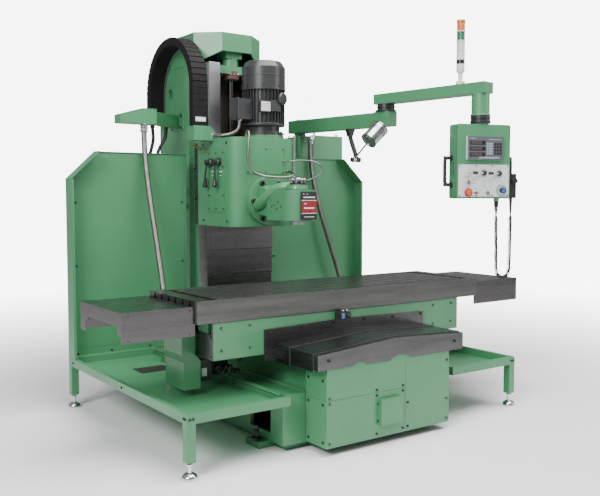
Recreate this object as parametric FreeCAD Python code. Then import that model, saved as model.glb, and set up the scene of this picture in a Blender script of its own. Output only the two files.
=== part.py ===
import FreeCAD, Part
import math
import os

# Vertical bed milling machine with a swivelling spindle head, in millimetres.
# Origin: on the floor under the spindle axis. +X along the table, -Y to the operator, +Z up.
V = FreeCAD.Vector
X, Z = V(1, 0, 0), V(0, 0, 1)
os.makedirs("parts", exist_ok=True)

# ---- clearances and stock ----
slide_gap = 0.5          # flat ways and facing plates on different bodies
shaft_gap = 0.05         # radial, shaft in bore
sheet = 4.0              # covers and guards
casting_wall = 28.0
bolt_head = 6.5
bolt_rise = 4.0

# ---- bed ----
bed_half = 656.0
bed_front = -780.0
bed_rear = 1560.0
bed_top = 340.0
plinth_inset = 45.0
plinth_height = 40.0
way_out = 420.0          # Y ways: outer and inner edge from the centre
way_in = 250.0
way_top = 589.0
way_front = -840.0
way_rear = 740.0
way_body_top = 480.0
anchor_x = 695.0
anchor_y = (-560.0, 1400.0)
anchor_hole = 11.0

# ---- saddle and table ----
saddle_left = -991.0
saddle_right = 1006.0
saddle_front = -565.0
saddle_back = 60.0
saddle_bottom = 547.0
saddle_body_top = 695.0
table_left = -1098.0
table_right = 1204.0
table_front = -570.0
table_back = 60.0
table_top = 900.0
table_thick = 132.0
slot_count = 6
slot_pitch = 92.0
slot_neck = 18.0
slot_head = 30.0
slot_depth = 36.0
slot_head_height = 14.0
x_way = (-500.0, -380.0, -130.0, -10.0)
wing_front = -546.0
wing_back = 79.0
wing_bottom = 701.0
wing_top = 868.0
wing_out_left = -1536.0
wing_out_right = 1678.0
switch_x = -110.0
switch_bottom = 715.0
screw_radius = 20.0
x_screw_y = -255.0
x_screw_z = 722.0
y_screw_z = 405.0

# ---- gull-roof covers over the Y ways ----
cover_left = -573.0
cover_right = 615.0
cover_apex = 30.0
cover_bottom = 497.0
cover_eave = 606.0
cover_ridge = 650.0
cover_step = sheet + slide_gap   # each cover nests this much inside the one behind it
cover_front_y = -995.0
cover_mid_y = -955.0
cover_rear_y = -726.0

# ---- column ----
column_half = 300.0
column_front = 1046.0
column_rear = 1560.0
column_top = 2506.0
column_foot = 620.0
column_wall = 30.0
way_plane = 787.0
way_plate = 40.0
z_way_in = 165.0
z_way_out = 258.0
z_screw_y = 916.0
z_screw_foot = 670.0
z_screw_head = column_top + 33.0
cap_top = column_top + 239.0
cap_front = 810.0
cap_nose_half = 131.0
cap_nose_bottom = column_top + 99.0
cap_sheet = 6.0

# ---- head ----
head_half = 285.0
z_cover_half = 297.0
z_cover_sheet = 2.5
z_cover_step = 3.0
head_front = 390.0
head_back = 979.0
head_bottom = 1270.0
head_top = 1921.0
head_corner = 80.0
head_wall = 30.0
lever_z = 1744.0
lever_pivot = 8.0
swivel_z = 1459.0
disc_radius = 178.0
disc_thick = 44.0
pilot_radius = 60.0
housing_half = 118.0
housing_bottom = 1323.0
housing_top = 1537.0
spindle_radius = 44.0
nose_bottom = 1295.0
taper_mouth = 34.9
taper_end = 15.0
taper_depth = 100.0
nose_bolt_circle = 43.0
nose_bolt_hole = 4.2
motor_x = 80.0
motor_y = 560.0
motor_bottom = 1947.0
motor_top = 2491.0
motor_radius = 160.0
motor_shaft = 32.0
motor_stator_bottom = 2028.0
motor_stator_top = 2289.0
motor_fins = 36

# ---- chip tray, guards ----
tray_left = -1317.0
tray_right = 1283.0
tray_front = -863.0
tray_rear = 947.0
tray_floor = 300.0
tray_rim = 354.0
leg_size = 52.0
leg_bottom = 93.0
guard_top = 1813.0
guard_shoulder = 1616.0
guard_depth = 120.0
guard_hem = 12.0

# ---- electrical cabinet ----
cabinet_left = 830.0
cabinet_right = 1148.0
cabinet_rear = 1400.0
cabinet_bottom = 60.0
cabinet_top = 2012.0

# ---- cable chain ----
chain_left = -452.0
chain_right = -325.0
chain_thick = 61.0
chain_front_y = 685.0
chain_rear_y = 1489.0
chain_bend_z = 2304.0
conduit_radius = 21.0

# ---- pendant arms ----
post = V(751, 1030, 0)
elbow = V(892, 89, 0)
wrist = V(1013, -752, 0)
arm1_bottom = 2028.0
arm1_height = 107.0
arm1_width = 105.0
arm2_bottom = 2197.0
arm2_height = 76.0
arm2_width = 112.0
pendant_turn = -18.0
pendant_width = 410.0
pendant_depth = 110.0
pendant_bottom = 1478.0
pendant_top = 1985.0


def box(x0, y0, z0, x1, y1, z1):
    return Part.makeBox(x1 - x0, y1 - y0, z1 - z0, V(x0, y0, z0))


def rod(radius, start, end):
    start, end = V(*start), V(*end)
    return Part.makeCylinder(radius, (end - start).Length, start, end - start)


def cone(r0, r1, start, end):
    start, end = V(*start), V(*end)
    return Part.makeCone(r0, r1, (end - start).Length, start, end - start)


def ring(outer, inner, start, end):
    return rod(outer, start, end).cut(rod(inner, start, end))


def prism(points, sweep):
    points = [V(*p) for p in points]
    return Part.Face(Part.makePolygon(points + [points[0]])).extrude(V(*sweep))


def plan(points, z0, z1):
    return prism([(x, y, z0) for x, y in points], (0, 0, z1 - z0))


def join(first, *others):
    return first.fuse(list(others)).removeSplitter()


def mirror_x(shape):
    return shape.mirror(V(0, 0, 0), X)


def save(name, *shapes):
    solids = [solid for shape in shapes for solid in shape.Solids]
    result = solids[0] if len(solids) == 1 else Part.makeCompound(solids)
    result.exportStep("parts/%s.step" % name)
    print(name, len(solids), "solids", round(result.Volume / 1e6, 3), "litres", result.isValid())


def cord_path(points):
    """Straight runs joined by tangent arcs as large as the runs allow."""
    points = [V(*p) for p in points]
    edges, cursor, radii = [], points[0], []
    for before, corner, after in zip(points, points[1:], points[2:]):
        back, ahead = before - corner, after - corner
        turn = math.pi - back.getAngle(ahead)
        reach = 0.45 * min(back.Length, ahead.Length)
        radii.append(reach / math.tan(turn / 2))
        back.normalize()
        ahead.normalize()
        start, end = corner + back * reach, corner + ahead * reach
        bisector = back + ahead
        bisector.normalize()
        middle = corner + bisector * (radii[-1] / math.cos(turn / 2) - radii[-1])
        edges.append(Part.LineSegment(cursor, start).toShape())
        edges.append(Part.Arc(start, middle, end).toShape())
        cursor = end
    edges.append(Part.LineSegment(cursor, points[-1]).toShape())
    return Part.Wire(edges), radii


def cord(name, radius, points):
    wire, radii = cord_path(points)
    first = V(*points[1]) - V(*points[0])
    circle = Part.Wire(Part.Circle(V(*points[0]), first, radius).toShape())
    tube = wire.makePipeShell([circle], True, False)
    section = math.pi * radius * radius * wire.Length
    print(name, "length", round(wire.Length), "radii", [round(r) for r in radii],
          "volume ratio", round(tube.Volume / section, 4))
    return tube


def gull(front, back, eave, ridge, inset, bottom):
    """Solid under a shallow gable roof, from front to back, inset on both sides."""
    left, right = cover_left + inset, cover_right - inset
    outline = [(left, front, bottom), (left, front, eave), (cover_apex, front, ridge),
               (right, front, eave + 17), (right, front, bottom)]
    return prism(outline, (0, back - front, 0))


def bed():
    x, w = bed_half, casting_wall
    body = join(box(-x, bed_front, plinth_height, x, bed_rear, bed_top),
                box(plinth_inset - x, bed_front + plinth_inset, 0, x - plinth_inset,
                    bed_rear - plinth_inset,
                    plinth_height))
    body = body.cut(box(w - x, bed_front + w, plinth_height, -w, bed_rear - w, bed_top - w))
    body = body.cut(box(w, bed_front + w, plinth_height, x - w, bed_rear - w, bed_top - w))
    for side in (-1, 1):
        window = box(-30, -650, 90, 30, -420, 250)
        window.translate(V(side * (x - w / 2), 0, 0))
        body = body.cut(window)
        gutter = box(min(side * (way_out + 60), side * (x - w)), bed_front + w, bed_top - 12,
                     max(side * (way_out + 60), side * (x - w)), tray_rear, bed_top)
        body = body.cut(gutter)
    ways = box(-way_out - 20, way_front, bed_top, way_out + 20, way_rear, way_body_top)
    ways = ways.cut(box(-way_in + 20, way_front - 1, bed_top + 30, way_in - 20, way_rear + 1,
                        way_body_top + 1))
    ways = ways.cut(box(-way_out - 21, way_front - 1, bed_top - 1, way_out + 21, bed_front, bed_top + 40))
    rails = [box(way_in, way_front, way_body_top, way_out, way_rear, way_top)]
    rails.append(mirror_x(rails[0]))
    body = join(body, ways, *rails)
    for y in anchor_y:
        for side in (-1, 1):
            lug = box(-60, -70, 0, 60, 70, plinth_height)
            lug.translate(V(side * (anchor_x - 25), y, 0))
            body = join(body, lug)
            body = body.cut(rod(anchor_hole, (side * anchor_x, y, -1),
                                (side * anchor_x, y, plinth_height + 1)))
    save("bed_casting", body)


def bed_cover():
    left, right, front, back = -497.0, 490.0, -989.0, bed_front - 8
    shell = box(left, front, 49, right, back, way_body_top - 6)
    shell = shell.cut(box(left + sheet, front + sheet, 48, right - sheet, back + 1,
                          way_body_top - 6 - sheet))
    tail = box(-way_out - 30, way_front - 6, bed_top + 30, way_out + 30, back + 1, way_body_top + 30)
    shell = shell.cut(tail)
    hood = box(-106, front - 28, 124, 62, front, 282).cut(box(-101, front - 23, 120, 57, front, 277))
    edge, low, seam_low, seam_high = 22.0, 76.0, 308.0, 340.0
    places = [(left + edge, z) for z in (low, seam_low, seam_high)] + [(right - edge, z) for z in (low, 203, 452)]
    box_bolts = [rod(bolt_head, (x, front - bolt_rise, z), (x, front, z)) for x, z in places]
    lugs = [box(left + sheet, back - 40, z, left + 45, back, z + 20) for z in (80, 300)]
    feet = [box(left + sheet, back - 12, 60, left + 60, bed_front, 280)]
    feet.append(box(right - 60, back - 12, 60, right - sheet, bed_front, 280))
    save("bed_cover", join(shell, hood, *box_bolts, *lugs, *feet))


def covers():
    """Three telescoping sheet covers: front one fixed, middle one at half speed, rear one on the saddle."""
    def cover(front, back, level, lip):
        inset, eave, ridge = level * cover_step, cover_eave - level * cover_step, cover_ridge - level * cover_step
        outer = gull(front, back, eave, ridge, inset, cover_bottom + 6 * level)
        inner = gull(front + lip, back + 1, eave - sheet, ridge - sheet, inset + sheet, cover_bottom - 1)
        return outer.cut(inner)
    rear = cover(cover_rear_y, saddle_front - 9, 0, -1)
    middle = cover(cover_mid_y, -644, 1, -1)
    front = cover(cover_front_y, -834, 2, sheet)
    arches = []
    for x, radius, rise in ((-258.0, 100.0, 30.0), (66.0, 150.0, 38.0)):
        centre_z = cover_bottom + rise - radius
        arches.append(rod(radius, (x, cover_front_y - 1, centre_z), (x, cover_front_y + sheet + 1, centre_z)))
    for arch in arches:
        front = front.cut(arch)
    ledge = box(cover_left + 2 * cover_step + sheet, cover_front_y + sheet, cover_bottom + 43,
                cover_right - 2 * cover_step - sheet, cover_front_y + 20, cover_bottom + 63)
    arms = [box(x - 20, cover_front_y + 20, cover_bottom + 43, x + 20, way_front, cover_bottom + 63)
            for x in (-380, 380)]
    front = join(front, ledge, *arms)
    save("cover_rear", rear)
    save("cover_mid", middle)
    save("cover_front", front)


def saddle():
    g = slide_gap
    body = box(saddle_left, saddle_front + 10, saddle_bottom, saddle_right, saddle_back, saddle_body_top)
    body = body.cut(box(-way_out - 2, saddle_front + 9, saddle_bottom - 1, way_out + 2, saddle_back + 1,
                        way_top + g))
    y0, y1, y2, y3 = x_way
    ways = [box(saddle_left, y0, saddle_body_top, saddle_right, y1, table_top - table_thick - g),
            box(saddle_left, y2, saddle_body_top, saddle_right, y3, table_top - table_thick - g)]
    trough = box(saddle_left + 60, y1 + 20, 640, saddle_right - 60, y2 - 20, saddle_body_top + 1)
    body = join(body, *ways).cut(trough)
    bearing = box(saddle_left, x_screw_y - 45, saddle_body_top - 1, saddle_left + 60, x_screw_y + 45,
                  x_screw_z + 30)
    bearing_right = box(saddle_right - 60, x_screw_y - 45, saddle_body_top - 1, saddle_right,
                        x_screw_y + 45,
                        x_screw_z + 30)
    body = join(body, bearing, bearing_right)
    body = body.cut(rod(screw_radius + shaft_gap, (saddle_left - 1, x_screw_y, x_screw_z),
                        (saddle_right + 1, x_screw_y, x_screw_z)))
    nut = box(-50, saddle_back - 160, y_screw_z - screw_radius - 12, 50, saddle_back - 40, way_top + 40)
    body = join(body, nut)
    body = body.cut(rod(screw_radius + shaft_gap, (0, saddle_back - 170, y_screw_z),
                        (0, saddle_back, y_screw_z)))
    apron = box(saddle_left, saddle_front, saddle_bottom, saddle_right, saddle_front + 10,
                table_top - table_thick - 2)
    apron = apron.cut(box(-way_out - 2, saddle_front - 1, saddle_bottom - 1, way_out + 2, saddle_front + 11,
                          way_top + g))
    bolts = [rod(bolt_head, (x, saddle_front - bolt_rise, z), (x, saddle_front, z))
             for x in (-940.0, -746.0, 761.0, 940.0) for z in (602.0, 733.0)]
    save("saddle_casting", body, join(apron, *bolts))
    gull_front, gull_back = saddle_front - 9, saddle_front
    wiper = prism([(-647, gull_front, 509), (-647, gull_front, 697), (-107, gull_front, 712),
                   (120, gull_front, 712), (660, gull_front, 699), (660, gull_front, 560),
                   (cover_right + 8, gull_front, 560), (cover_right + 8, gull_front, 509)],
                  (0, gull_back - gull_front, 0))
    wiper = wiper.cut(box(-way_out - 2, gull_front - 1, 490, way_out + 2, gull_back + 1, way_top + g))
    save("saddle_wiper", wiper)


def saddle_drive():
    """Belt case under the saddle's left end, its servo, and the switch block on the front."""
    y0, y1 = -370.0, -128.0
    case = prism([(-1082, y0, 348), (-971, y0, 348), (-971, y0, 515), (-1007, y0, 560), (-1007, y0, 762),
                  (-1094, y0, 762), (-1094, y0, 560), (-1082, y0, 515)], (0, y1 - y0, 0))
    case = case.cut(box(-1078, y0 + 5, 352, -975, y1 - 5, 500))
    case = join(case, box(-1008, y0 + 20, 575, saddle_left, y1 - 20, 680))
    case = case.cut(rod(screw_radius + 6, (saddle_left - 62, x_screw_y, x_screw_z),
                        (saddle_left, x_screw_y, x_screw_z)))
    save("belt_case", case)
    servo_y = -250.0
    servo = join(box(-971, servo_y - 70, 375, -868, servo_y + 70, 507),
                 rod(52, (-868, servo_y, 441), (-740, servo_y, 441)),
                 box(-850, servo_y - 30, 485, -790, servo_y + 30, saddle_bottom),
                 rod(20, (-770, servo_y - 70, 441), (-770, servo_y, 441)),
                 rod(17, (-830, servo_y - 78, 441), (-830, servo_y, 441)))
    front = saddle_front - 9
    x, z = switch_x, switch_bottom
    switch = join(box(x, front - 55, z, x + 80, saddle_front, z + 46),
                  box(x + 15, front - 40, z + 20, x + 65, saddle_front, z + 50))
    save("saddle_electrics", servo, switch)


def table():
    bottom = table_top - table_thick
    body = box(table_left, table_front, bottom, table_right, table_back, table_top)
    y0, y1, y2, y3 = x_way
    for a, b in ((table_front + 30, y0 - 4), (y3 + 4, table_back - 30)):
        body = body.cut(box(table_left + 60, a, bottom - 1, table_right - 60, b, bottom + 55))
    centre = (table_front + table_back) / 2
    for i in range(slot_count):
        y = centre + (i - (slot_count - 1) / 2) * slot_pitch
        body = body.cut(box(table_left - 1, y - slot_neck / 2, table_top - slot_depth, table_right + 1,
                            y + slot_neck / 2, table_top + 1))
        body = body.cut(box(table_left - 1, y - slot_head / 2, table_top - slot_depth, table_right + 1,
                            y + slot_head / 2, table_top - slot_depth + slot_head_height))
    for y in (table_front + 25, table_back - 25):
        body = body.cut(box(table_left + 100, y - 9, table_top - 10, table_right - 100, y + 9,
                            table_top + 1))
    for x in (table_left + 118, table_right - 118):
        body = body.cut(box(x - 18, table_front + 16, table_top - 12, x + 18, table_back - 16,
                            table_top + 1))
    nut = box(-70, x_screw_y - 42, x_screw_z - 24, 70, x_screw_y + 42, bottom + 1)
    body = join(body, nut)
    body = body.cut(rod(screw_radius + shaft_gap, (-80, x_screw_y, x_screw_z), (80, x_screw_y, x_screw_z)))
    save("table", body)


def wing(inner, outer):
    """Sheet cover on a table end: open below, its end plate cut out round the saddle's way profile."""
    lo, hi = min(inner, outer), max(inner, outer)
    shell = box(lo, wing_front, wing_bottom, hi, wing_back, wing_top)
    shell = shell.cut(box(lo + 6, wing_front + 6, wing_bottom - 1, hi + 1, wing_back - 6, wing_top - 6)
                      if outer < inner else
                      box(lo - 1, wing_front + 6, wing_bottom - 1, hi - 6, wing_back - 6, wing_top - 6))
    y0, y1, y2, y3 = x_way
    opening = prism([(lo - 1, y0 - 30, wing_bottom - 1), (lo - 1, y0 - 30, 740), (lo - 1, y0 + 10, 740),
                     (lo - 1, y0 + 40, 790), (lo - 1, y3 - 40, 790), (lo - 1, y3 - 20, 765),
                     (lo - 1, y3 + 14, 765), (lo - 1, y3 + 14, wing_bottom - 1)], (hi - lo + 2, 0, 0))
    slab = box(outer - 8, -2000, 0, outer + 8, 2000, 2000)
    return shell.cut(opening.common(slab))


def column():
    x, w = column_half, column_wall
    body = box(-x, column_front, bed_top, x, column_rear, column_top)
    body = body.cut(box(-x + w, column_front + w, bed_top + w, x - w, column_rear - w, column_top - w))
    ribs = [box(z_way_in, way_plane + way_plate, bed_top, z_way_out, column_front + 1, column_top)]
    ribs.append(mirror_x(ribs[0]))
    body = join(body, *ribs)
    core_z, pad_z, pad_thick = column_top - 188, 2080.0, 14.0
    body = body.cut(rod(36, (-x - 1, 1361, core_z), (-x + w + 1, 1361, core_z)))
    pad = box(-x - pad_thick, 1110, pad_z - 65, -x, 1320, pad_z + 65)
    bolts = [rod(9, (-x - pad_thick - 8, y, z), (-x - pad_thick, y, z))
             for y in (1136, 1296) for z in (pad_z - 48, pad_z + 48)]
    save("column_casting", join(body, pad, *bolts))


def cap():
    def hood(inset, z0, z1):
        return plan([(-cap_nose_half + inset, cap_front + inset),
                     (cap_nose_half - inset, cap_front + inset),
                     (column_half - inset, column_front - 90 + inset), (column_half - inset,
                                                                        column_rear - inset),
                     (-column_half + inset, column_rear - inset),
                     (-column_half + inset, column_front - 90 + inset)], z0, z1)
    shell = hood(0, column_top, cap_top).cut(hood(cap_sheet, column_top - 1, cap_top - cap_sheet))
    under = prism([(-400, cap_front - 1, column_top - 1), (-400, column_front, column_top - 1),
                   (-400, cap_front + 150, column_top + 1), (-400, cap_front - 1, cap_nose_bottom)], (800,
                                                                                                      0, 0))
    save("column_cap", shell.cut(under))


def z_drive():
    """Bearing block in the recess with the servo on top of it, and the servo on the Y screw."""
    y = z_screw_y
    housing, seat = 62.0, column_top + 54.0
    block = box(-z_way_in, y - housing, column_top - 66, z_way_in, column_front, column_top - 6)
    block = join(block, rod(housing, (0, y, column_top - 106), (0, y, seat)),
                 box(-70, y - 60, seat, 70, y + 80, seat + 160))
    foot = box(-z_way_in, y - 50, z_screw_foot - 10, z_way_in, column_front, z_screw_foot + 30)
    block = block.cut(rod(screw_radius + shaft_gap, (0, y, column_top - 116), (0, y, z_screw_head + 1)))
    foot = foot.cut(rod(screw_radius + shaft_gap, (0, y, z_screw_foot), (0, y, z_screw_foot + 40)))
    face = way_front - 8
    servo = join(box(-60, face - 62, y_screw_z - 60, 60, face, y_screw_z + 60),
                 rod(50, (0, face - 122, y_screw_z), (0, face - 62, y_screw_z)))
    bracket = box(-way_in - 10, way_front - 8, 385, way_in + 10, way_front, way_body_top - 10)
    servo = join(servo, bracket).cut(rod(screw_radius + shaft_gap, (0, way_front - 8, y_screw_z),
                                         (0, way_front + 1, y_screw_z)))
    save("axis_drives", block, foot, servo)


def tray():
    solids = []
    for side in (-1, 1):
        outer = tray_left if side < 0 else tray_right
        inner = side * bed_half
        lo, hi = min(outer, inner), max(outer, inner)
        pan = box(lo, tray_front, tray_floor, hi, tray_rear, tray_floor + sheet)
        rim_in = 30.0
        ledge = box(lo, tray_front, tray_floor + sheet, hi, tray_rear, tray_rim)
        well = (box(lo + rim_in, tray_front + rim_in, 0, hi - sheet, tray_rear - rim_in,
                    900) if side < 0 else
                box(lo + sheet, tray_front + rim_in, 0, hi - rim_in, tray_rear - rim_in, 900))
        pan = join(pan, ledge.cut(well))
        if side < 0:
            pan = pan.cut(box(-1015, 370, tray_floor - 1, -785, 550, tray_floor + sheet + 1))
            bars = [box(-1015, 370 + 20 * i, tray_floor, -785, 378 + 20 * i,
                        tray_floor + sheet) for i in range(10)]
            pan = join(pan, *bars)
        leg_x = lo if side < 0 else hi - leg_size
        for y in (tray_front, tray_rear - leg_size):
            leg = box(leg_x, y, leg_bottom, leg_x + leg_size, y + leg_size, tray_floor)
            pan = join(pan, leg.cut(box(leg_x + 4, y + 4, leg_bottom + 6, leg_x + leg_size - 4,
                                        y + leg_size - 4,
                                        tray_floor - 4)))
        solids.append(pan)
    feet = []
    for x in (tray_left + leg_size / 2, tray_right - leg_size / 2):
        for y in (tray_front + leg_size / 2, tray_rear - leg_size / 2):
            feet.append(join(rod(42, (x, y, 0), (x, y, 14)), cone(30, 12, (x, y, 14), (x, y, 34)),
                             rod(10, (x, y, 30), (x, y, leg_bottom))))
    save("chip_tray", *solids, *feet)


def guard(side):
    """Pan of folded sheet: back wall with its outer side, chamfer and top folded forward."""
    outer = tray_left if side < 0 else tray_right
    shoulder = outer - side * 210
    inner = side * (column_half + 80)
    outline = [(inner, tray_rim), (outer, tray_rim), (outer, guard_shoulder), (shoulder, guard_top),
               (inner, guard_top)]
    solid = prism([(x, tray_rear - guard_depth, z) for x, z in outline], (0, guard_depth, 0))
    s = side * sheet
    hollow = [(inner - 2 * s, tray_rim - 1), (outer - s, tray_rim - 1),
              (outer - s, guard_shoulder - sheet * 0.4),
              (shoulder - s * 0.4, guard_top - sheet), (inner - 2 * s, guard_top - sheet)]
    solid = solid.cut(prism([(x, tray_rear - guard_depth - 1, z) for x, z in hollow],
                            (0, guard_depth + 1 - sheet, 0)))
    top_trim = box(min(inner, shoulder) - 1, tray_rear - guard_depth - 1, guard_top - 60,
                   max(inner, shoulder) + 1, tray_rear - guard_hem, guard_top + 1)
    return solid.cut(top_trim)


def cabinet():
    x0, x1, y0, y1, z0, z1 = cabinet_left, cabinet_right, tray_rear, cabinet_rear, cabinet_bottom, cabinet_top
    body = box(x0, y0, z0, x1, y1, z1).cut(box(x0 + sheet, y0 + sheet, z0 + sheet, x1 - sheet, y1 + 1,
                                               z1 - sheet))
    feet = [box(x, y, 0, x + 60, y + 60, z0) for x in (x0, x1 - 60) for y in (y0, y1 - 60)]
    eyes = [ring(13, 8, (x, y - 5, z1 + 10), (x, y + 5, z1 + 10)) for x in (x0 + 40, x1 - 40)
            for y in (y0 + 40, y1 - 40)]
    backplate = box(x0 + 20, y0 + 30, 200, x1 - 20, y0 + 40, 1900)
    spacers = [rod(8, (x, y0 + sheet, z), (x, y0 + 30, z)) for x in (x0 + 50, x1 - 50) for z in (260, 1800)]
    gear = [box(x0 + 50, y0 + 40, z, x1 - 50, y0 + 170, z + 220) for z in (320, 700, 1080, 1460)]
    save("cabinet", join(body, *feet, *eyes, backplate, *spacers, *gear))
    door = box(x0, y1 + slide_gap, z0, x1, y1 + 22, z1)
    handle = join(box(x0 + 30, y1 + 22, 1020, x0 + 50, y1 + 40, 1160), rod(9, (x0 + 40, y1 + 20, 1000),
                                                                           (x0 + 40, y1 + 34, 1000)))
    save("cabinet_door", join(door, handle))


def head():
    x, r, w = head_half, head_corner, head_wall
    outline = Part.Wire([
        Part.makeLine(V(-x, head_back, head_bottom), V(-x, head_front + r, head_bottom)),
        Part.Arc(V(-x, head_front + r, head_bottom),
                 V(-x + r * (1 - math.sqrt(0.5)), head_front + r * (1 - math.sqrt(0.5)), head_bottom),
                 V(-x + r, head_front, head_bottom)).toShape(),
        Part.makeLine(V(-x + r, head_front, head_bottom), V(x - r, head_front, head_bottom)),
        Part.Arc(V(x - r, head_front, head_bottom),
                 V(x - r * (1 - math.sqrt(0.5)), head_front + r * (1 - math.sqrt(0.5)), head_bottom),
                 V(x, head_front + r, head_bottom)).toShape(),
        Part.makeLine(V(x, head_front + r, head_bottom), V(x, head_back, head_bottom)),
        Part.makeLine(V(x, head_back, head_bottom), V(-x, head_back, head_bottom))])
    body = Part.Face(outline).extrude(V(0, 0, head_top - head_bottom))
    g = slide_gap
    back_cut = box(-z_way_out - 1, way_plane - g, head_bottom - 1, z_way_out + 1, head_back + 1,
                   head_top + 1)
    body = body.cut(back_cut)
    cavity = box(-x + w, head_front + r, head_bottom + w, x - w, way_plane - g - w, head_top - w)
    body = body.cut(cavity)
    body = body.cut(rod(pilot_radius + shaft_gap, (0, head_front - 1, swivel_z),
                        (0, head_front + r + 1, swivel_z)))
    nut = box(-62, way_plane - g - 1, 1500, 62, z_screw_y + 62, 1660)
    body = join(body, nut)
    body = body.cut(rod(screw_radius + shaft_gap, (0, z_screw_y, 1490), (0, z_screw_y, 1670)))
    body = body.cut(rod(34, (motor_x, motor_y, head_top - w - 1), (motor_x, motor_y, head_top + 1)))
    flange = ring(152, 34, (motor_x, motor_y, head_top), (motor_x, motor_y, motor_bottom))
    save("head_casting", join(body, flange))
    plate = box(-x - 5, 440 + r, 1379, -x, 760, 1831)
    screws = [rod(5, (-x - 8, y, z), (-x, y, z)) for y in (455 + r, 640, 745) for z in (1400, 1610, 1812)]
    hubs = [ring(22, lever_pivot + shaft_gap, (-x - 34, y, lever_z), (-x - 5, y, lever_z)) for y in (585,
                                                                                                     700)]
    front = box(-176, head_front - 4, 1655, 150, head_front, 1850)
    studs = [rod(5, (cx, head_front - 8, z), (cx, head_front, z)) for cx in (-165, -13, 139) for z in (1668,
                                                                                                       1752, 1838)]
    hubs_bored = join(plate, *screws, *hubs)
    for y in (585, 700):
        hubs_bored = hubs_bored.cut(rod(lever_pivot + shaft_gap, (-x - 40, y, lever_z),
                                        (-x - 1, y, lever_z)))
    outline = [(-450, 675, 1904), (-head_half, 675, 1904), (-head_half, 675, head_top),
               (-252, 675, head_top),
               (-252, 675, 1950), (-320, 675, 2011), (-450, 675, 2011)]
    save("head_plates", hubs_bored, join(front, *studs), prism(outline, (0, 100, 0)))
    for name, y, lean in (("gear_lever_left", 700, 35), ("gear_lever_right", 585, 0)):
        tip = V(-x - 46, y + lean, lever_z - 175)
        lever = join(rod(lever_pivot, (-x - 52, y, lever_z), (-x - 2, y, lever_z)),
                     rod(20, (-x - 60, y, lever_z), (-x - 36, y, lever_z)),
                     rod(7, (-x - 48, y, lever_z), (tip.x, tip.y, tip.z + 60)),
                     cone(9, 20, (tip.x, tip.y - lean * 0.35, tip.z + 62), (tip.x, tip.y, tip.z)))
        save(name, lever)


def motor():
    x, y, r = motor_x, motor_y, motor_radius
    z0, z1, z2, z3 = motor_bottom, motor_stator_bottom, motor_stator_top, motor_top
    flange = join(ring(147, 34, (x, y, z0), (x, y, z0 + 26)), ring(120, 34, (x, y, z0 + 26), (x, y, z1)))
    stator = ring(r - 22, 96, (x, y, z1), (x, y, z2))
    fins = []
    for i in range(motor_fins):
        fin = box(r - 24, -2.5, z1 + 6, r, 2.5, z2 - 6)
        fin.rotate(V(0, 0, 0), Z, i * 360 / motor_fins)
        fin.translate(V(x, y, 0))
        fins.append(fin)
    terminal = box(x - r - 95, y - 62, 2060, x - r + 26, y + 62, 2210)
    lug = box(x - 45, y - r - 4, 2120, x + 45, y - r + 26, 2200)
    bottom = ring(97, motor_shaft + shaft_gap, (x, y, z1), (x, y, z1 + 12))
    frame = join(flange, stator, bottom, *fins, terminal, lug)
    cowl = ring(r + 4, r - 2, (x, y, z2), (x, y, z3 - 40))
    dome = cone(r + 4, r - 20, (x, y, z3 - 40), (x, y, z3)).cut(cone(r - 2, r - 26, (x, y, z3 - 41),
                                                                     (x, y, z3 - 6)))
    seat = ring(r - 2, 60, (x, y, z2), (x, y, z2 + 6))
    shell = join(cowl, dome, seat)
    save("motor_body", frame, shell)
    rotor = join(rod(94, (x, y, z1 + 20), (x, y, z2 - 10)), rod(motor_shaft, (x, y, 1860), (x, y, z2 + 60)),
                 rod(110, (x, y, z2 + 30), (x, y, z2 + 50)), rod(50, (x, y, 1800), (x, y, 1860)))
    save("motor_rotor", rotor)


def z_covers():
    """Four nested sheet covers in front of the ways; the lowest is fixed to the column's foot."""
    for name, level, z0, z1 in (("z_cover_top", 0, 1081, head_bottom), ("z_cover_upper", 1, 894, 1182),
                                ("z_cover_lower", 2, 700, 1000), ("z_cover_fixed", 3, bed_top, 810)):
        out, front = z_cover_half - z_cover_step * level, way_plane - 14.0 + z_cover_step * level
        shell = box(-out, front, z0, out, 905 - z_cover_step * level, z1)
        shell = shell.cut(box(-out + z_cover_sheet, front + z_cover_sheet, z0 - 1, out - z_cover_sheet,
                              column_front, z1 + 1))
        if level == 3:
            shell = join(shell, box(-out + z_cover_sheet, way_plane + way_plate + 4, bed_top,
                                    out - z_cover_sheet, 880, bed_top + 20))
            shell = shell.cut(box(-z_way_out, way_plane + way_plate, bed_top - 1, -z_way_in, 900,
                                  column_top))
            shell = shell.cut(box(z_way_in, way_plane + way_plate, bed_top - 1, z_way_out, 900, column_top))
            plates = [box(z_way_in, way_plane, column_foot, z_way_out, way_plane + way_plate, column_top)]
            plates.append(mirror_x(plates[0]))
            save("column_ways", shell, *plates)
        else:
            save(name, shell)


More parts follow.
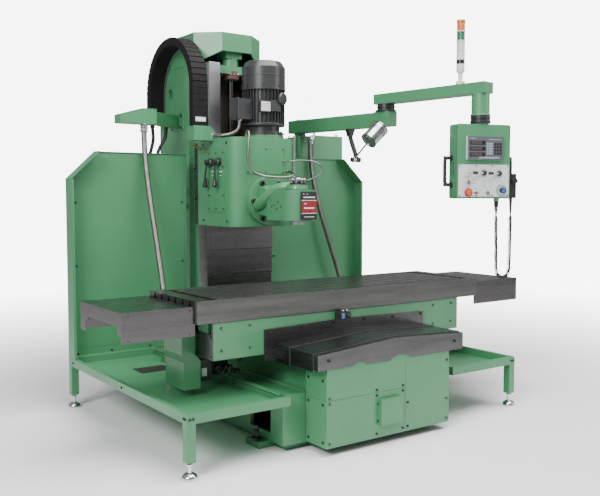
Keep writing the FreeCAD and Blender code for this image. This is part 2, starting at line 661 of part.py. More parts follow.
def swivel():
    """Disc on the head's face, elbow arm and the housing of the spindle, all one turning unit."""
    g = slide_gap
    disc = rod(disc_radius, (0, head_front - disc_thick, swivel_z), (0, head_front - g, swivel_z))
    pilot = rod(pilot_radius, (0, head_front - g - 1, swivel_z), (0, head_front + 60, swivel_z))
    neck = join(disc, pilot)
    face = head_front - disc_thick
    for i in range(6):
        a = math.radians(60 * i)
        cx, cz = 148 * math.cos(a), swivel_z + 148 * math.sin(a)
        neck = join(neck, rod(13, (cx, face - 14, cz), (cx, face, cz)))
    arm = prism([(-housing_half + 20, face, swivel_z - 95), (-housing_half + 20, face, swivel_z + 110),
                 (-housing_half + 20, face - 110, housing_top + 2), (-housing_half + 20, 216,
                                                                     housing_top + 2),
                 (-housing_half + 20, 216, housing_bottom + 20)], (2 * (housing_half - 20), 0, 0))
    neck = join(neck, arm)
    collar = rod(72, (0, 0, housing_top), (0, 0, housing_top + 36))
    saddle_arm = prism([(-60, 216, housing_top), (-60, 216, housing_top + 34), (-60, 40, housing_top + 34),
                        (-60, 40, housing_top)], (120, 0, 0))
    bore = rod(36, (0, 180, swivel_z), (0, head_front + 61, swivel_z))
    body = join(neck, collar, saddle_arm).cut(bore).cut(rod(31, (0, 0, housing_top - 1),
                                                            (0, 0, housing_top + 40)))
    save("swivel_casting", body)
    h = housing_half
    plan_wire = Part.Wire([Part.makeLine(V(-h, 216, housing_bottom), V(-h, 0, housing_bottom)),
                           Part.Arc(V(-h, 0, housing_bottom), V(0, -h, housing_bottom),
                                    V(h, 0, housing_bottom)).toShape(),
                           Part.makeLine(V(h, 0, housing_bottom), V(h, 216, housing_bottom)),
                           Part.makeLine(V(h, 216, housing_bottom), V(-h, 216, housing_bottom))])
    shell = Part.Face(plan_wire).extrude(V(0, 0, housing_top - housing_bottom))
    shell = shell.cut(rod(92, (0, 0, housing_bottom + 60), (0, 0, housing_top - 12)))
    shell = shell.cut(rod(spindle_radius + shaft_gap, (0, 0, housing_bottom - 1),
                          (0, 0, housing_bottom + 61)))
    shell = shell.cut(rod(30 + shaft_gap, (0, 0, housing_top - 13), (0, 0, housing_top + 1)))
    shell = shell.cut(rod(40, (0, 60, swivel_z), (0, 217, swivel_z)))
    save("spindle_housing", shell)
    studs = [rod(6, (48 * math.cos(a), 48 * math.sin(a), housing_top + 46),
                 (48 * math.cos(a), 48 * math.sin(a), 1605))
             for a in [math.radians(45 * i) for i in range(8)]]
    stud_ring = ring(58, 30, (0, 0, housing_top + 36), (0, 0, housing_top + 48))
    drawbar_cap = join(stud_ring, *studs, ring(40, 30, (0, 0, housing_top + 36), (0, 0, 1598)))
    plate = box(-62, -h - 14, 1332, 66, -h - 4, 1524)
    plate = join(plate, box(-50, -h - 4, 1360, 50, -h + 1, 1500)).cut(shell)
    save("housing_trim", drawbar_cap, plate)
    spindle = join(rod(spindle_radius, (0, 0, nose_bottom + 14), (0, 0, swivel_z - 45)),
                   rod(52, (0, 0, nose_bottom), (0, 0, housing_bottom - 6)),
                   rod(30, (0, 0, swivel_z - 46), (0, 0, housing_top + 20)),
                   cone(62, 40, (0, 0, swivel_z - 62), (0, 0, swivel_z - 40)))
    taper = cone(taper_mouth, taper_end, (0, 0, nose_bottom), (0, 0, nose_bottom + taper_depth))
    spindle = spindle.cut(taper)
    for i in range(4):
        a = math.radians(45 + 90 * i)
        x, y = nose_bolt_circle * math.cos(a), nose_bolt_circle * math.sin(a)
        spindle = spindle.cut(rod(nose_bolt_hole, (x, y, nose_bottom - 1), (x, y, nose_bottom + 13)))
    save("spindle", spindle)
    shaft = join(rod(24, (0, 62, swivel_z), (0, 560, swivel_z)),
                 cone(40, 62, (0, 40.7, swivel_z), (0, 62.7, swivel_z)),
                 rod(80, (0, 480, swivel_z), (0, 520, swivel_z)),
                 ring(36 - shaft_gap, 23, (0, 300, swivel_z), (0, 320, swivel_z)))
    save("drive_shaft", shaft)


def chain():
    """Cable chain on the column's left: rear leg held by the column, arch free, front leg on the head's bracket."""
    x0, x1, thick = chain_left, chain_right, chain_thick
    front, rear = chain_front_y, chain_rear_y
    outer = (rear - front) / 2
    centre_y, centre_z = (front + rear) / 2, chain_bend_z
    arch = rod(outer, (x0, centre_y, centre_z), (x1, centre_y, centre_z))
    arch = arch.cut(rod(outer - thick, (x0 - 1, centre_y, centre_z), (x1 + 1, centre_y, centre_z)))
    arch = arch.cut(box(x0 - 1, front - 1, centre_z - outer - 1, x1 + 1, rear + 1, centre_z))
    save("chain_arch", arch)
    leg = box(x0, front, 2011, x1, front + thick, centre_z)
    save("chain_front", leg)
    rear_leg = box(x0, rear - thick, 2110, x1, rear, centre_z)
    shelf = join(box(x0, rear - thick, 2090, -column_half, rear, 2110),
                 box(-column_half - 12, rear - 90, 2050,
                                                                         -column_half, rear, 2110))
    save("chain_rear", rear_leg)
    return shelf


def cable_box(shelf):
    """Tapered box on a flat arm that reaches from the column's side past the chain."""
    z0, z1 = 2021.0, 2131.0
    trough = prism([(-649, 880, z0), (-757, 880, z0), (-932, 880, z0), (-932, 880, z0 + 62),
                    (-757, 880, z1),
                    (-649, 880, z1)], (0, 110, 0))
    hollow = prism([(-660, 884, z0 + 4), (-928, 884, z0 + 4), (-928, 884, z0 + 56), (-757, 884, z1 - 5),
                    (-660, 884, z1 - 5)], (0, 102, 0))
    trough = trough.cut(hollow)
    arm = plan([(-649, 958), (-649, 990), (-column_half - 14, 1240), (-column_half - 14, 1190)], z0 + 4,
               z1 - 4)
    gland = join(rod(27, (-740, 905, z0 - 34), (-740, 905, z0)),
                 rod(23, (-740, 905, z0 - 60), (-740, 905, z0 - 34)))
    save("cable_box", join(trough, arm), shelf)
    bracket = join(box(post.x - 40, 880, 1990, post.x + 50, post.y - 52, 1998),
                   rod(27, (771, 905, 1956), (771, 905, 1990)), rod(23, (771, 905, 1932), (771, 905, 1956)))
    socket_top = tray_floor + 52
    left = [(-740, 905, z0 - 60), (-740, 905, 1840), (-734, 878, 1640), (-724, 830, 1400),
            (-716, 765, 1160),
            (-709, 705, 920), (-704, 650, 690), (-703, 625, 500), (-703, 625, socket_top)]
    right = [(771, 905, 1932), (771, 905, 1800), (800, 892, 1580), (858, 872, 1350), (930, 855, 1120),
             (1010, 845, 890), (1080, 842, 680), (1112, 850, 500), (1112, 850, socket_top)]
    save("conduit_left", cord("conduit_left", conduit_radius, left))
    save("conduit_right", cord("conduit_right", conduit_radius, right))
    sockets = [join(box(x - 40, y - 40, tray_floor + sheet, x + 40, y + 40, tray_floor + 32),
                    rod(27, (x, y, tray_floor + 32), (x, y, socket_top))) for x, y in ((-703, 625),
                                                                                       (1112, 850))]
    save("conduit_glands", gland, bracket, *sockets)


def arms():
    side1 = elbow - post
    side1.normalize()
    across1 = V(-side1.y, side1.x, 0)
    side2 = wrist - elbow
    side2.normalize()
    across2 = V(-side2.y, side2.x, 0)

    def beam(start, end, across, half, z0, z1):
        corners = [start + across * half, end + across * half, end - across * half, start - across * half]
        return prism([(p.x, p.y, z0) for p in corners], (0, 0, z1 - z0))
    stand = join(box(post.x - 52, post.y - 52, 12, post.x + 52, post.y + 52, 1998),
                 box(post.x - 100, post.y - 76, 0, post.x + 70, post.y + 100, 12),
                 rod(48, (post.x, post.y, 1998), (post.x, post.y, arm1_bottom - slide_gap)),
                 rod(30, (post.x, post.y, 1998), (post.x, post.y, arm1_bottom + 80)))
    save("arm_post", stand)
    z0, z1 = arm1_bottom, arm1_bottom + arm1_height
    arm = beam(post - side1 * 90, elbow + side1 * 58, across1, arm1_width / 2, z0, z1)
    block = beam(elbow - side1 * 62, elbow + side1 * 60, across1, 60, z0, z1 + 5)
    arm = join(arm, block)
    arm = arm.cut(rod(30 + shaft_gap, (post.x, post.y, z0 - 1), (post.x, post.y, z0 + 81)))
    save("arm_lower", arm)
    ring_shape = join(ring(76, 30, (elbow.x, elbow.y, z1 + 5), (elbow.x, elbow.y, z1 + 17)),
                      ring(66, 30, (elbow.x, elbow.y, z1 + 17),
                           (elbow.x, elbow.y, arm2_bottom - slide_gap)),
                      rod(30, (elbow.x, elbow.y, z1 + 5), (elbow.x, elbow.y, arm2_bottom + 50)))
    save("arm_joint", ring_shape)
    a0, a1 = arm2_bottom, arm2_bottom + arm2_height
    upper = beam(elbow - side2 * 78, wrist + side2 * 62, across2, arm2_width / 2, a0, a1)
    neck = rod(62, (wrist.x, wrist.y, 2046), (wrist.x, wrist.y, a0 + 1))
    upper = join(upper, neck)
    upper = upper.cut(rod(30 + shaft_gap, (elbow.x, elbow.y, a0 - 1), (elbow.x, elbow.y, a0 + 51)))
    upper = upper.cut(rod(28 + shaft_gap, (wrist.x, wrist.y, 2045), (wrist.x, wrist.y, 2110)))
    save("arm_upper", upper)
    base = elbow + (wrist - elbow) * 0.8
    x, y = base.x, base.y
    bands = [(32, a1, a1 + 26), (17, a1 + 26, 2370), (29, 2370, 2513), (31, 2513, 2520), (28, 2520, 2576),
             (31, 2576, 2583), (28, 2583, 2641), (31, 2641, 2648), (28, 2648, 2706), (31, 2706, 2726)]
    save("tower_light", join(*[rod(r, (x, y, low), (x, y, high)) for r, low, high in bands]))


def pendant():
    """Modelled square to the axes with the wrist at the origin, then turned and moved into place."""
    w, d = pendant_width / 2, pendant_depth / 2
    z0, z1 = pendant_bottom, pendant_top
    front = -d

    def place(shape):
        shape = shape.copy()
        shape.rotate(V(0, 0, 0), Z, pendant_turn)
        shape.translate(V(wrist.x, wrist.y, 0))
        return shape

    shell = box(-w, -d, z0, w, d, z1)
    for edge_x in (-w, w):
        for edge_z in (z0, z1):
            corner = box(-14, -d - 1, -14, 14, d + 1, 14)
            corner.translate(V(edge_x, 0, edge_z))
            rounded = rod(14, (edge_x - math.copysign(14, edge_x), -d - 1,
                               edge_z - (14 if edge_z == z1 else -14)),
                          (edge_x - math.copysign(14, edge_x), d + 1,
                           edge_z - (14 if edge_z == z1 else -14)))
            shell = shell.cut(corner.cut(rounded))
    shell = shell.cut(box(-w + 4, -d + 6, z0 + 4, w - 4, d - 4, z1 - 4))
    boss = rod(56, (0, 0, z1 - 1), (0, 0, z1 + 8))
    shaft = rod(28, (0, 0, z1 - 3), (0, 0, 2108))
    shell = join(shell, boss, shaft)
    bores = [(-130, 1519, 11), (138, 1533, 8), (-2, 1653, 9), (117, 1650, 9), (-61, 1516, 8)]
    for x, z, r in bores:
        shell = shell.cut(rod(r + shaft_gap, (x, front - 20, z), (x, front + 7, z)))
    relief = join(rod(16, (135, 0, z0 - 56), (135, 0, z0)),
                  cone(6, 12, (135, 0, z0 - 110), (135, 0, z0 - 56)))
    save("pendant_box", place(shell))
    collar = ring(66, 28 + shaft_gap, (0, 0, z1 + 8), (0, 0, 2046 - slide_gap))
    panel = box(-195, front - 4, 1490, 195, front, 1710)
    for x, z, r in bores:
        panel = panel.cut(rod(r + shaft_gap, (x, front - 20, z), (x, front + 7, z)))
    fixed = [rod(16, (-125, front - 22, 1655), (-125, front - 4, 1655)), rod(14, (-127, front - 20, 1589),
                                                                             (-127, front - 4, 1589)),
             rod(14, (23, front - 20, 1516), (23, front - 4, 1516))]
    readout = box(-138, front - 22, 1742, 138, front, 1902)
    readout = readout.cut(box(-126, front - 23, 1768, 18, front - 19, 1890))
    save("control_panel", place(join(panel, *fixed)), place(readout))

    def grip(side):
        x = side * (w + 52)
        bar = rod(11, (x, 22, 1560), (x, 22, 1768))
        ends = [rod(9, (side * w, 22, z), (x, 22, z)) for z in (1572, 1756)]
        return join(bar, *ends)
    stop = join(rod(27, (-130, front - 34, 1519), (-130, front - 18, 1519)),
                rod(11, (-130, front - 20, 1519), (-130, front + 5, 1519)))
    save("stop_button", place(stop))
    start = rod(8, (-61, front - 14, 1516), (-61, front + 5, 1516))
    save("start_button", place(start))
    knob = join(rod(20, (138, front - 34, 1533), (138, front - 5, 1533)),
                rod(8, (138, front - 6, 1533), (138, front + 5, 1533)))
    save("feed_knob", place(knob))
    for name, x, z in (("joystick_left", -2, 1653), ("joystick_right", 117, 1650)):
        stick = join(rod(16, (x, front - 18, z), (x, front - 5, z)),
                     rod(9, (x, front - 6, z), (x, front + 5, z)),
                     rod(5, (x, front - 14, z), (x - 68, front - 30, z)),
                     rod(9, (x - 62, front - 28.6, z), (x - 88, front - 34.8, z)))
        save(name, place(stick))
    hand_x = w + 32
    unit = join(box(hand_x - 25, -48, 1480, hand_x + 25, 2, 1650),
                rod(22, (hand_x, -62, 1600), (hand_x, -48, 1600)),
                box(w, -30, 1500, hand_x - 25, -10, 1540), cone(6, 12, (hand_x, -20, 1370),
                                                                (hand_x, -20, 1480)))
    unit = unit.cut(rod(6 + shaft_gap, (hand_x, -63, 1600), (hand_x, -50, 1600)))
    save("pendant_fittings", *[place(part) for part in (collar, relief, grip(-1), grip(1), unit)])
    save("hand_dial", place(join(rod(18, (hand_x, -78, 1600), (hand_x, -63, 1600)),
                                 rod(6, (hand_x, -64, 1600), (hand_x, -52, 1600)))))
    lead = [(135, 0, z0 - 110), (135, 0, 1290), (136, -2, 1190), (137, -4, 1100), (136, -6, 1025),
            (137, -9, 955),
            (166, -10, 925), (208, -11, 925), (hand_x, -12, 955), (hand_x + 1, -13, 1025), (hand_x + 1, -14,
                                                                                            1100),
            (hand_x + 0.5, -17, 1190), (hand_x, -20, 1285), (hand_x, -20, 1370)]
    save("curly_cord", place(cord("curly_cord", 13, lead)))


def lamp():
    arm = elbow - post
    arm.normalize()
    at = post + arm * 580
    elbow_low = V(780, 295, 1778)
    cone_body = cone(22, 42, (at.x, at.y, 1968), (at.x, at.y, arm1_bottom - slide_gap))
    stem = join(cone_body, rod(14, (at.x, at.y, 1968), elbow_low),
                rod(20, (elbow_low.x - 24, elbow_low.y, elbow_low.z),
                    (elbow_low.x + 24, elbow_low.y, elbow_low.z)))
    save("lamp_arm", stem)
    beam = V(-0.72, 0.1, -0.69)
    beam.normalize()
    middle = V(742, 40, 1962)
    back, lens = middle - beam * 75, middle + beam * 85
    barrel = rod(62, back, lens).cut(rod(56, back + beam * 30, lens + beam))
    bulb = rod(25, back + beam * 30, back + beam * 80)
    yoke = V(elbow_low.x - 34, elbow_low.y, elbow_low.z)
    grip_at = V(752, 118, 1918)
    stalk = rod(7, yoke, grip_at)
    boss = rod(10, grip_at, V(749, 88, 1934))
    hub = rod(20, (elbow_low.x - 44, elbow_low.y, elbow_low.z),
              (elbow_low.x - 24 - slide_gap, elbow_low.y, elbow_low.z))
    save("lamp_head", join(barrel, boss.cut(rod(58, back, lens)), bulb, stalk, hub))


bed()
bed_cover()
covers()
saddle()
saddle_drive()
table()
save("table_wings", wing(table_left, wing_out_left), wing(table_right, wing_out_right))
column()
cap()
z_drive()
tray()
save("guards", guard(-1), guard(1))
cabinet()
head()
motor()
z_covers()
swivel()
cable_box(chain())
arms()
pendant()
lamp()
save("x_screw", rod(screw_radius, (saddle_left - 60, x_screw_y, x_screw_z),
                    (saddle_right, x_screw_y, x_screw_z)))
save("y_screw", rod(screw_radius, (0, way_front - 7.5, y_screw_z), (0, way_rear, y_screw_z)))
save("z_screw", rod(screw_radius, (0, z_screw_y, z_screw_foot + 0.5), (0, z_screw_y, z_screw_head)))
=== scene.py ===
import math
import bpy
import bmesh
import numpy as np
from mathutils import Matrix, Vector


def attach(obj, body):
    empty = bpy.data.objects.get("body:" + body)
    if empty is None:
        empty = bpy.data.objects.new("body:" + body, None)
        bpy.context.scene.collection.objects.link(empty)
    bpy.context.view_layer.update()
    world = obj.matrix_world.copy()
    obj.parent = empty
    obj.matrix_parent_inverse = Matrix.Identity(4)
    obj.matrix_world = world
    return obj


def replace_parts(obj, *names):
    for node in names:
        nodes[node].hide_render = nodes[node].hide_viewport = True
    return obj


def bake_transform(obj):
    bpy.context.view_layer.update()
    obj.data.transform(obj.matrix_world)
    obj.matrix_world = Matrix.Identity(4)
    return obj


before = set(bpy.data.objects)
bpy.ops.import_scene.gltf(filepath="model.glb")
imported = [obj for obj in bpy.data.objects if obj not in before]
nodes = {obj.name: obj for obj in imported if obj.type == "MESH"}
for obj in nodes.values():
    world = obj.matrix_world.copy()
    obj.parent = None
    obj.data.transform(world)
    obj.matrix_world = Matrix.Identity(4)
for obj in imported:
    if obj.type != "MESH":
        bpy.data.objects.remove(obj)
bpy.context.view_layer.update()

# ---- camera ----
cameraSettings = {"place": (-3.168, -4.486, 1.496), "turn": (86.2, 0.0, -35.4), "lens": 47.1}
camera = bpy.data.objects.new("camera", bpy.data.cameras.new("camera"))
camera.data.lens = cameraSettings["lens"]
camera.data.sensor_width = 36.0
camera.location = cameraSettings["place"]
camera.rotation_euler = [math.radians(angle) for angle in cameraSettings["turn"]]
bpy.context.scene.collection.objects.link(camera)
bpy.context.scene.camera = camera
print("camera ready")


# ---- mesh tools: every shape is a pair (points, faces) ----

def addPiece(name, shapes, material, body, smooth=35):
    # joins shapes into one mesh, merges doubles, sets outward normals and lets it ride
    points, faces, count = [], [], 0
    for shapePoints, shapeFaces in shapes:
        points.append(np.asarray(shapePoints, float).reshape(-1, 3))
        faces.extend([tuple(int(i) + count for i in face) for face in shapeFaces])
        count += len(points[-1])
    mesh = bpy.data.meshes.new(name)
    mesh.from_pydata(np.vstack(points).tolist(), [], faces)
    work = bmesh.new()
    work.from_mesh(mesh)
    bmesh.ops.remove_doubles(work, verts=work.verts, dist=1e-6)
    bmesh.ops.recalc_face_normals(work, faces=work.faces)
    work.to_mesh(mesh)
    work.free()
    piece = bpy.data.objects.new(name, mesh)
    bpy.context.scene.collection.objects.link(piece)
    mesh.materials.append(material)
    mesh.polygons.foreach_set("use_smooth", np.ones(len(mesh.polygons), bool))
    mesh.set_sharp_from_angle(angle=math.radians(smooth))
    if body:
        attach(piece, body)
    return piece


def gridShape(points, wrapU=False, wrapV=False):
    # quads over an (nu, nv, 3) grid, closed round u and v where asked
    nu, nv = points.shape[:2]
    index = np.arange(nu * nv).reshape(nu, nv)
    if wrapU:
        index = np.vstack([index, index[:1]])
    if wrapV:
        index = np.hstack([index, index[:, :1]])
    faces = np.stack([index[:-1, :-1], index[1:, :-1], index[1:, 1:], index[:-1, 1:]], -1).reshape(-1, 4)
    return points.reshape(-1, 3), faces.tolist()


def axes(direction):
    # two unit vectors across a direction
    direction = np.asarray(direction, float)
    direction = direction / np.linalg.norm(direction)
    side = np.cross(direction, (0, 0, 1) if abs(direction[2]) < 0.9 else (0, 1, 0))
    side /= np.linalg.norm(side)
    return direction, side, np.cross(direction, side)


def turnedGrid(profile, base, direction, sides):
    # profile rows (radius, height) carried round direction from base
    profile = np.asarray(profile, float)
    along, side, up = axes(direction)
    angle = np.arange(sides) * 2 * math.pi / sides
    outward = np.cos(angle)[:, None] * side + np.sin(angle)[:, None] * up
    return np.asarray(base, float) + profile[:, 1, None, None] * along + profile[:, 0, None,
            None] * outward[None]


def lathe(profile, base, direction, sides=32):
    # turned solid with closed ends
    points, faces = gridShape(turnedGrid(profile, base, direction, sides), wrapV=True)
    return points, faces + [list(range(sides)), list(range(len(points) - sides, len(points)))]


def ringLathe(profile, base, direction, sides=32):
    # turned ring whose section is the closed profile
    return gridShape(turnedGrid(profile, base, direction, sides), wrapU=True, wrapV=True)


def collar(inner, outer, height, edge, place, direction=(0, 0, 1), sides=48):
    # plain ring with its two outer edges broken by edge
    return ringLathe([(inner, 0), (outer, edge), (outer, height - edge), (inner, height)], place, direction,
            sides)


def disc(radius, height, place, direction, sides=20):
    return lathe([(0, 0), (radius, 0), (radius, height), (0, height)], place, direction, sides)


def circle(count, radius, centre, start=0.0):
    # places evenly round an upright axis, each with its outward direction
    angle = start + np.arange(count) * 2 * math.pi / count
    outward = np.stack([np.cos(angle), np.sin(angle), 0 * angle], 1)
    return zip(np.asarray(centre, float) + radius * outward, outward)


def chamferBox(low, high, cut=0.002, turn=None, about=(0, 0, 0)):
    # box whose edges are cut back by cut: three points at each corner; turn is a rotation matrix
    low, high = np.minimum(low, high), np.maximum(low, high)
    centre, half = (low + high) / 2, (high - low) / 2
    signs = np.array([(x, y, z) for x in (-1, 1) for y in (-1, 1) for z in (-1, 1)], float)
    points = np.repeat(signs[:, None, :] * (half - cut), 3, axis=1)
    for axis in range(3):
        points[:, axis, axis] = signs[:, axis] * half[axis]
    points = points.reshape(-1, 3)
    corner = {tuple(sign): i * 3 for i, sign in enumerate(signs.astype(int).tolist())}
    faces = [[i * 3, i * 3 + 1, i * 3 + 2] for i in range(8)]
    for axis in range(3):
        one, two = [k for k in range(3) if k != axis]
        for sign in (-1, 1):
            loop = []
            for a, b in ((-1, -1), (1, -1), (1, 1), (-1, 1)):
                key = [0, 0, 0]
                key[axis], key[one], key[two] = sign, a, b
                loop.append(corner[tuple(key)] + axis)
            faces.append(loop)
        for a in (-1, 1):
            for b in (-1, 1):
                keyLow, keyHigh = [0, 0, 0], [0, 0, 0]
                keyLow[axis], keyHigh[axis] = -1, 1
                for key in (keyLow, keyHigh):
                    key[one], key[two] = a, b
                first, last = corner[tuple(keyLow)], corner[tuple(keyHigh)]
                faces.append([first + one, last + one, last + two, first + two])
    points = points + centre
    if turn is not None:
        points = (points - about) @ np.asarray(turn).T + about
    return points, faces


def sweep(path, radius, sides=12, closedEnds=True):
    # round section of the given radius (one number or one per point) carried along path
    path = np.asarray(path, float)
    radius = np.broadcast_to(np.asarray(radius, float), (len(path),))
    tangent = np.gradient(path, axis=0)
    tangent /= np.linalg.norm(tangent, axis=1, keepdims=True)
    side = np.zeros_like(path)
    side[0] = axes(tangent[0])[1]
    for i in range(1, len(path)):
        step = side[i - 1] - tangent[i] * np.dot(side[i - 1], tangent[i])
        side[i] = step / np.linalg.norm(step)
    up = np.cross(tangent, side)
    angle = np.arange(sides) * 2 * math.pi / sides
    grid = path[:, None] + radius[:, None, None] * (np.cos(angle)[None, :, None] * side[:, None]
            + np.sin(angle)[None, :, None] * up[:, None])
    points, faces = gridShape(grid, wrapV=True)
    if closedEnds:
        faces = faces + [list(range(sides)), list(range(len(points) - sides, len(points)))]
    return points, faces


def plate(outline, low, high, axis=2):
    # flat outline (closed, in the other two axes) given a thickness along axis
    outline = np.asarray(outline, float)
    others = [k for k in range(3) if k != axis]
    rings = []
    for level in (low, high):
        ring = np.zeros((len(outline), 3))
        ring[:, others[0]], ring[:, others[1]], ring[:, axis] = outline[:, 0], outline[:, 1], level
        rings.append(ring)
    points, faces = gridShape(np.array(rings), wrapV=True)
    count = len(outline)
    return points, faces + [list(range(count)), list(range(count, 2 * count))]


def bolt(place, direction, radius=0.007, height=0.006, socket=True):
    # cap screw: chamfered head with a hexagon socket when socket is true
    place = np.asarray(place, float)
    if not socket:
        return lathe([(radius, 0), (radius, height * 0.7), (radius * 0.75, height), (0, height)], place,
                direction, 6)
    rim = radius * 0.55
    return lathe([(radius, 0), (radius, height * 0.85), (radius * 0.9, height), (rim, height),
            (rim, height * 0.35), (0, height * 0.35)], place, direction, 12)


def turnAbout(angle, axis):
    return np.array(Matrix.Rotation(math.radians(angle), 3, Vector(axis)))


def splinePath(points, name, samples=14):
    # NURBS through the route, read back as a fine line
    curve = bpy.data.curves.new(name, "CURVE")
    curve.dimensions = "3D"
    curve.resolution_u = samples
    spline = curve.splines.new("NURBS")
    spline.points.add(len(points) - 1)
    spline.points.foreach_set("co",
            np.hstack([np.asarray(points, float), np.ones((len(points), 1))]).ravel())
    spline.order_u = 3
    spline.use_endpoint_u = True
    holder = bpy.data.objects.new(name, curve)
    bpy.context.scene.collection.objects.link(holder)
    bpy.context.view_layer.update()
    mesh = bpy.data.meshes.new_from_object(holder.evaluated_get(bpy.context.evaluated_depsgraph_get()))
    line = np.zeros(len(mesh.vertices) * 3)
    mesh.vertices.foreach_get("co", line)
    bpy.data.objects.remove(holder)
    bpy.data.meshes.remove(mesh)
    return line.reshape(-1, 3)


def resample(line, step):
    # same line with even spacing
    gaps = np.linalg.norm(np.diff(line, axis=0), axis=1)
    travel = np.concatenate([[0], np.cumsum(gaps)])
    even = np.linspace(0, travel[-1], max(2, int(round(travel[-1] / step)) + 1))
    return np.stack([np.interp(even, travel, line[:, k]) for k in range(3)], 1), travel[-1]


# ---- node groups shared by the finishes ----

def newGroup(name, inputs, outputs):
    group = bpy.data.node_groups.new(name, "ShaderNodeTree")
    for label, kind, value in inputs:
        socket = group.interface.new_socket(label, in_out="INPUT", socket_type=kind)
        if value is not None:
            socket.default_value = value
    for label, kind in outputs:
        group.interface.new_socket(label, in_out="OUTPUT", socket_type=kind)
    return group, group.nodes.new("NodeGroupInput"), group.nodes.new("NodeGroupOutput")


def addNode(tree, kind, **values):
    node = tree.nodes.new(kind)
    for key, value in values.items():
        if key in node.inputs:
            node.inputs[key].default_value = value
        else:
            setattr(node, key, value)
    return node


def buildSpeckle():
    # two octaves of noise on object coordinates, cut to a mask: patches and fine grain
    group, start, end = newGroup("speckle", [("Coordinates", "NodeSocketVector", None),
            ("Patch", "NodeSocketFloat", 3.0), ("Grain", "NodeSocketFloat", 300.0),
            ("Level", "NodeSocketFloat", 0.55)], [("Patches", "NodeSocketFloat"),
            ("Grain", "NodeSocketFloat"), ("Wear", "NodeSocketFloat")])
    patch = addNode(group, "ShaderNodeTexNoise", Detail=5.0, Roughness=0.6)
    grain = addNode(group, "ShaderNodeTexNoise", Detail=3.0, Roughness=0.55)
    cut = addNode(group, "ShaderNodeMath", operation="SUBTRACT")
    gain = addNode(group, "ShaderNodeMath", operation="MULTIPLY", use_clamp=True)
    gain.inputs[1].default_value = 6.0
    for source, out, target, into in (
            (start, "Coordinates", patch, "Vector"), (start, "Coordinates", grain, "Vector"),
            (start, "Patch", patch, "Scale"), (start, "Grain", grain, "Scale"), (patch, "Fac", cut, 0),
            (start, "Level", cut, 1), (cut, 0, gain, 0), (patch, "Fac", end, "Patches"),
            (grain, "Fac", end, "Grain"), (gain, 0, end, "Wear")):
        group.links.new(source.outputs[out], target.inputs[into])
    return group


def buildBrush():
    # noise stretched along one axis: the marks that grinding and milling leave
    group, start, end = newGroup("brush", [("Coordinates", "NodeSocketVector", None),
            ("Stretch", "NodeSocketVector", (1, 1, 1)), ("Scale", "NodeSocketFloat", 60.0)],
            [("Lines", "NodeSocketFloat"), ("Streaks", "NodeSocketFloat")])
    stretch = addNode(group, "ShaderNodeVectorMath", operation="MULTIPLY")
    fine = addNode(group, "ShaderNodeTexNoise", Detail=4.0, Roughness=0.7)
    broad = addNode(group, "ShaderNodeTexNoise", Detail=3.0, Roughness=0.5)
    slower = addNode(group, "ShaderNodeMath", operation="MULTIPLY")
    slower.inputs[1].default_value = 0.12
    for source, out, target, into in (
            (start, "Coordinates", stretch, 0), (start, "Stretch", stretch, 1), (stretch, 0, fine, "Vector"),
            (stretch, 0, broad, "Vector"), (start, "Scale", fine, "Scale"), (start, "Scale", slower, 0),
            (slower, 0, broad, "Scale"), (fine, "Fac", end, "Lines"), (broad, "Fac", end, "Streaks")):
        group.links.new(source.outputs[out], target.inputs[into])
    return group


speckle = buildSpeckle()
brush = buildBrush()


def maskNode(tree, place, group, **values):
    # a shared node group fed with the finish's own coordinates
    node = addNode(tree, "ShaderNodeGroup", node_tree=group, **values)
    tree.links.new(place, node.inputs["Coordinates"])
    return node


def mixColour(tree, factor, first, second):
    mix = addNode(tree, "ShaderNodeMix", data_type="RGBA")
    for socket, value in ((0, factor), (6, first), (7, second)):
        if isinstance(value, bpy.types.NodeSocket):
            tree.links.new(value, mix.inputs[socket])
        else:
            mix.inputs[socket].default_value = value
    return mix.outputs[2]


def spread(tree, value, low, high):
    # maps a mask from 0..1 to low..high
    node = addNode(tree, "ShaderNodeMapRange")
    node.inputs["To Min"].default_value = low
    node.inputs["To Max"].default_value = high
    tree.links.new(value, node.inputs["Value"])
    return node.outputs["Result"]


def finishOf(name, metallic=0.0, coat=0.0, uv=False):
    # new material with its shader and coordinates
    material = bpy.data.materials.new(name)
    material.use_nodes = True
    tree = material.node_tree
    shader = tree.nodes["Principled BSDF"]
    shader.inputs["Metallic"].default_value = metallic
    shader.inputs["Coat Weight"].default_value = coat
    place = addNode(tree, "ShaderNodeTexCoord")
    return material, tree, shader, place.outputs["UV" if uv else "Object"]


def bumpFrom(tree, shader, height, strength, distance, radius=None):
    bump = addNode(tree, "ShaderNodeBump", Strength=strength, Distance=distance)
    tree.links.new(height, bump.inputs["Height"])
    if radius:
        rounded = addNode(tree, "ShaderNodeBevel", samples=4)
        rounded.inputs["Radius"].default_value = radius
        tree.links.new(rounded.outputs["Normal"], bump.inputs["Normal"])
    tree.links.new(bump.outputs["Normal"], shader.inputs["Normal"])


def paintFinish(name, colour, dark, rough=0.35, grain=260.0, dent=0.25, coat=0.25, radius=0.003, patch=2.2,
        metallic=0.0):
    # sprayed enamel: slight shade changes, orange peel, rubbed and dusty patches
    material, tree, shader, place = finishOf(name, metallic, coat)
    mask = maskNode(tree, place, speckle, Patch=patch, Grain=grain)
    shade = mixColour(tree, spread(tree, mask.outputs["Patches"], -0.3, 1.3), dark, colour)
    tree.links.new(shade, shader.inputs["Base Color"])
    tree.links.new(spread(tree, mask.outputs["Patches"], rough + 0.12, rough - 0.08),
            shader.inputs["Roughness"])
    bumpFrom(tree, shader, mask.outputs["Grain"], dent, 0.0006, radius)
    return material


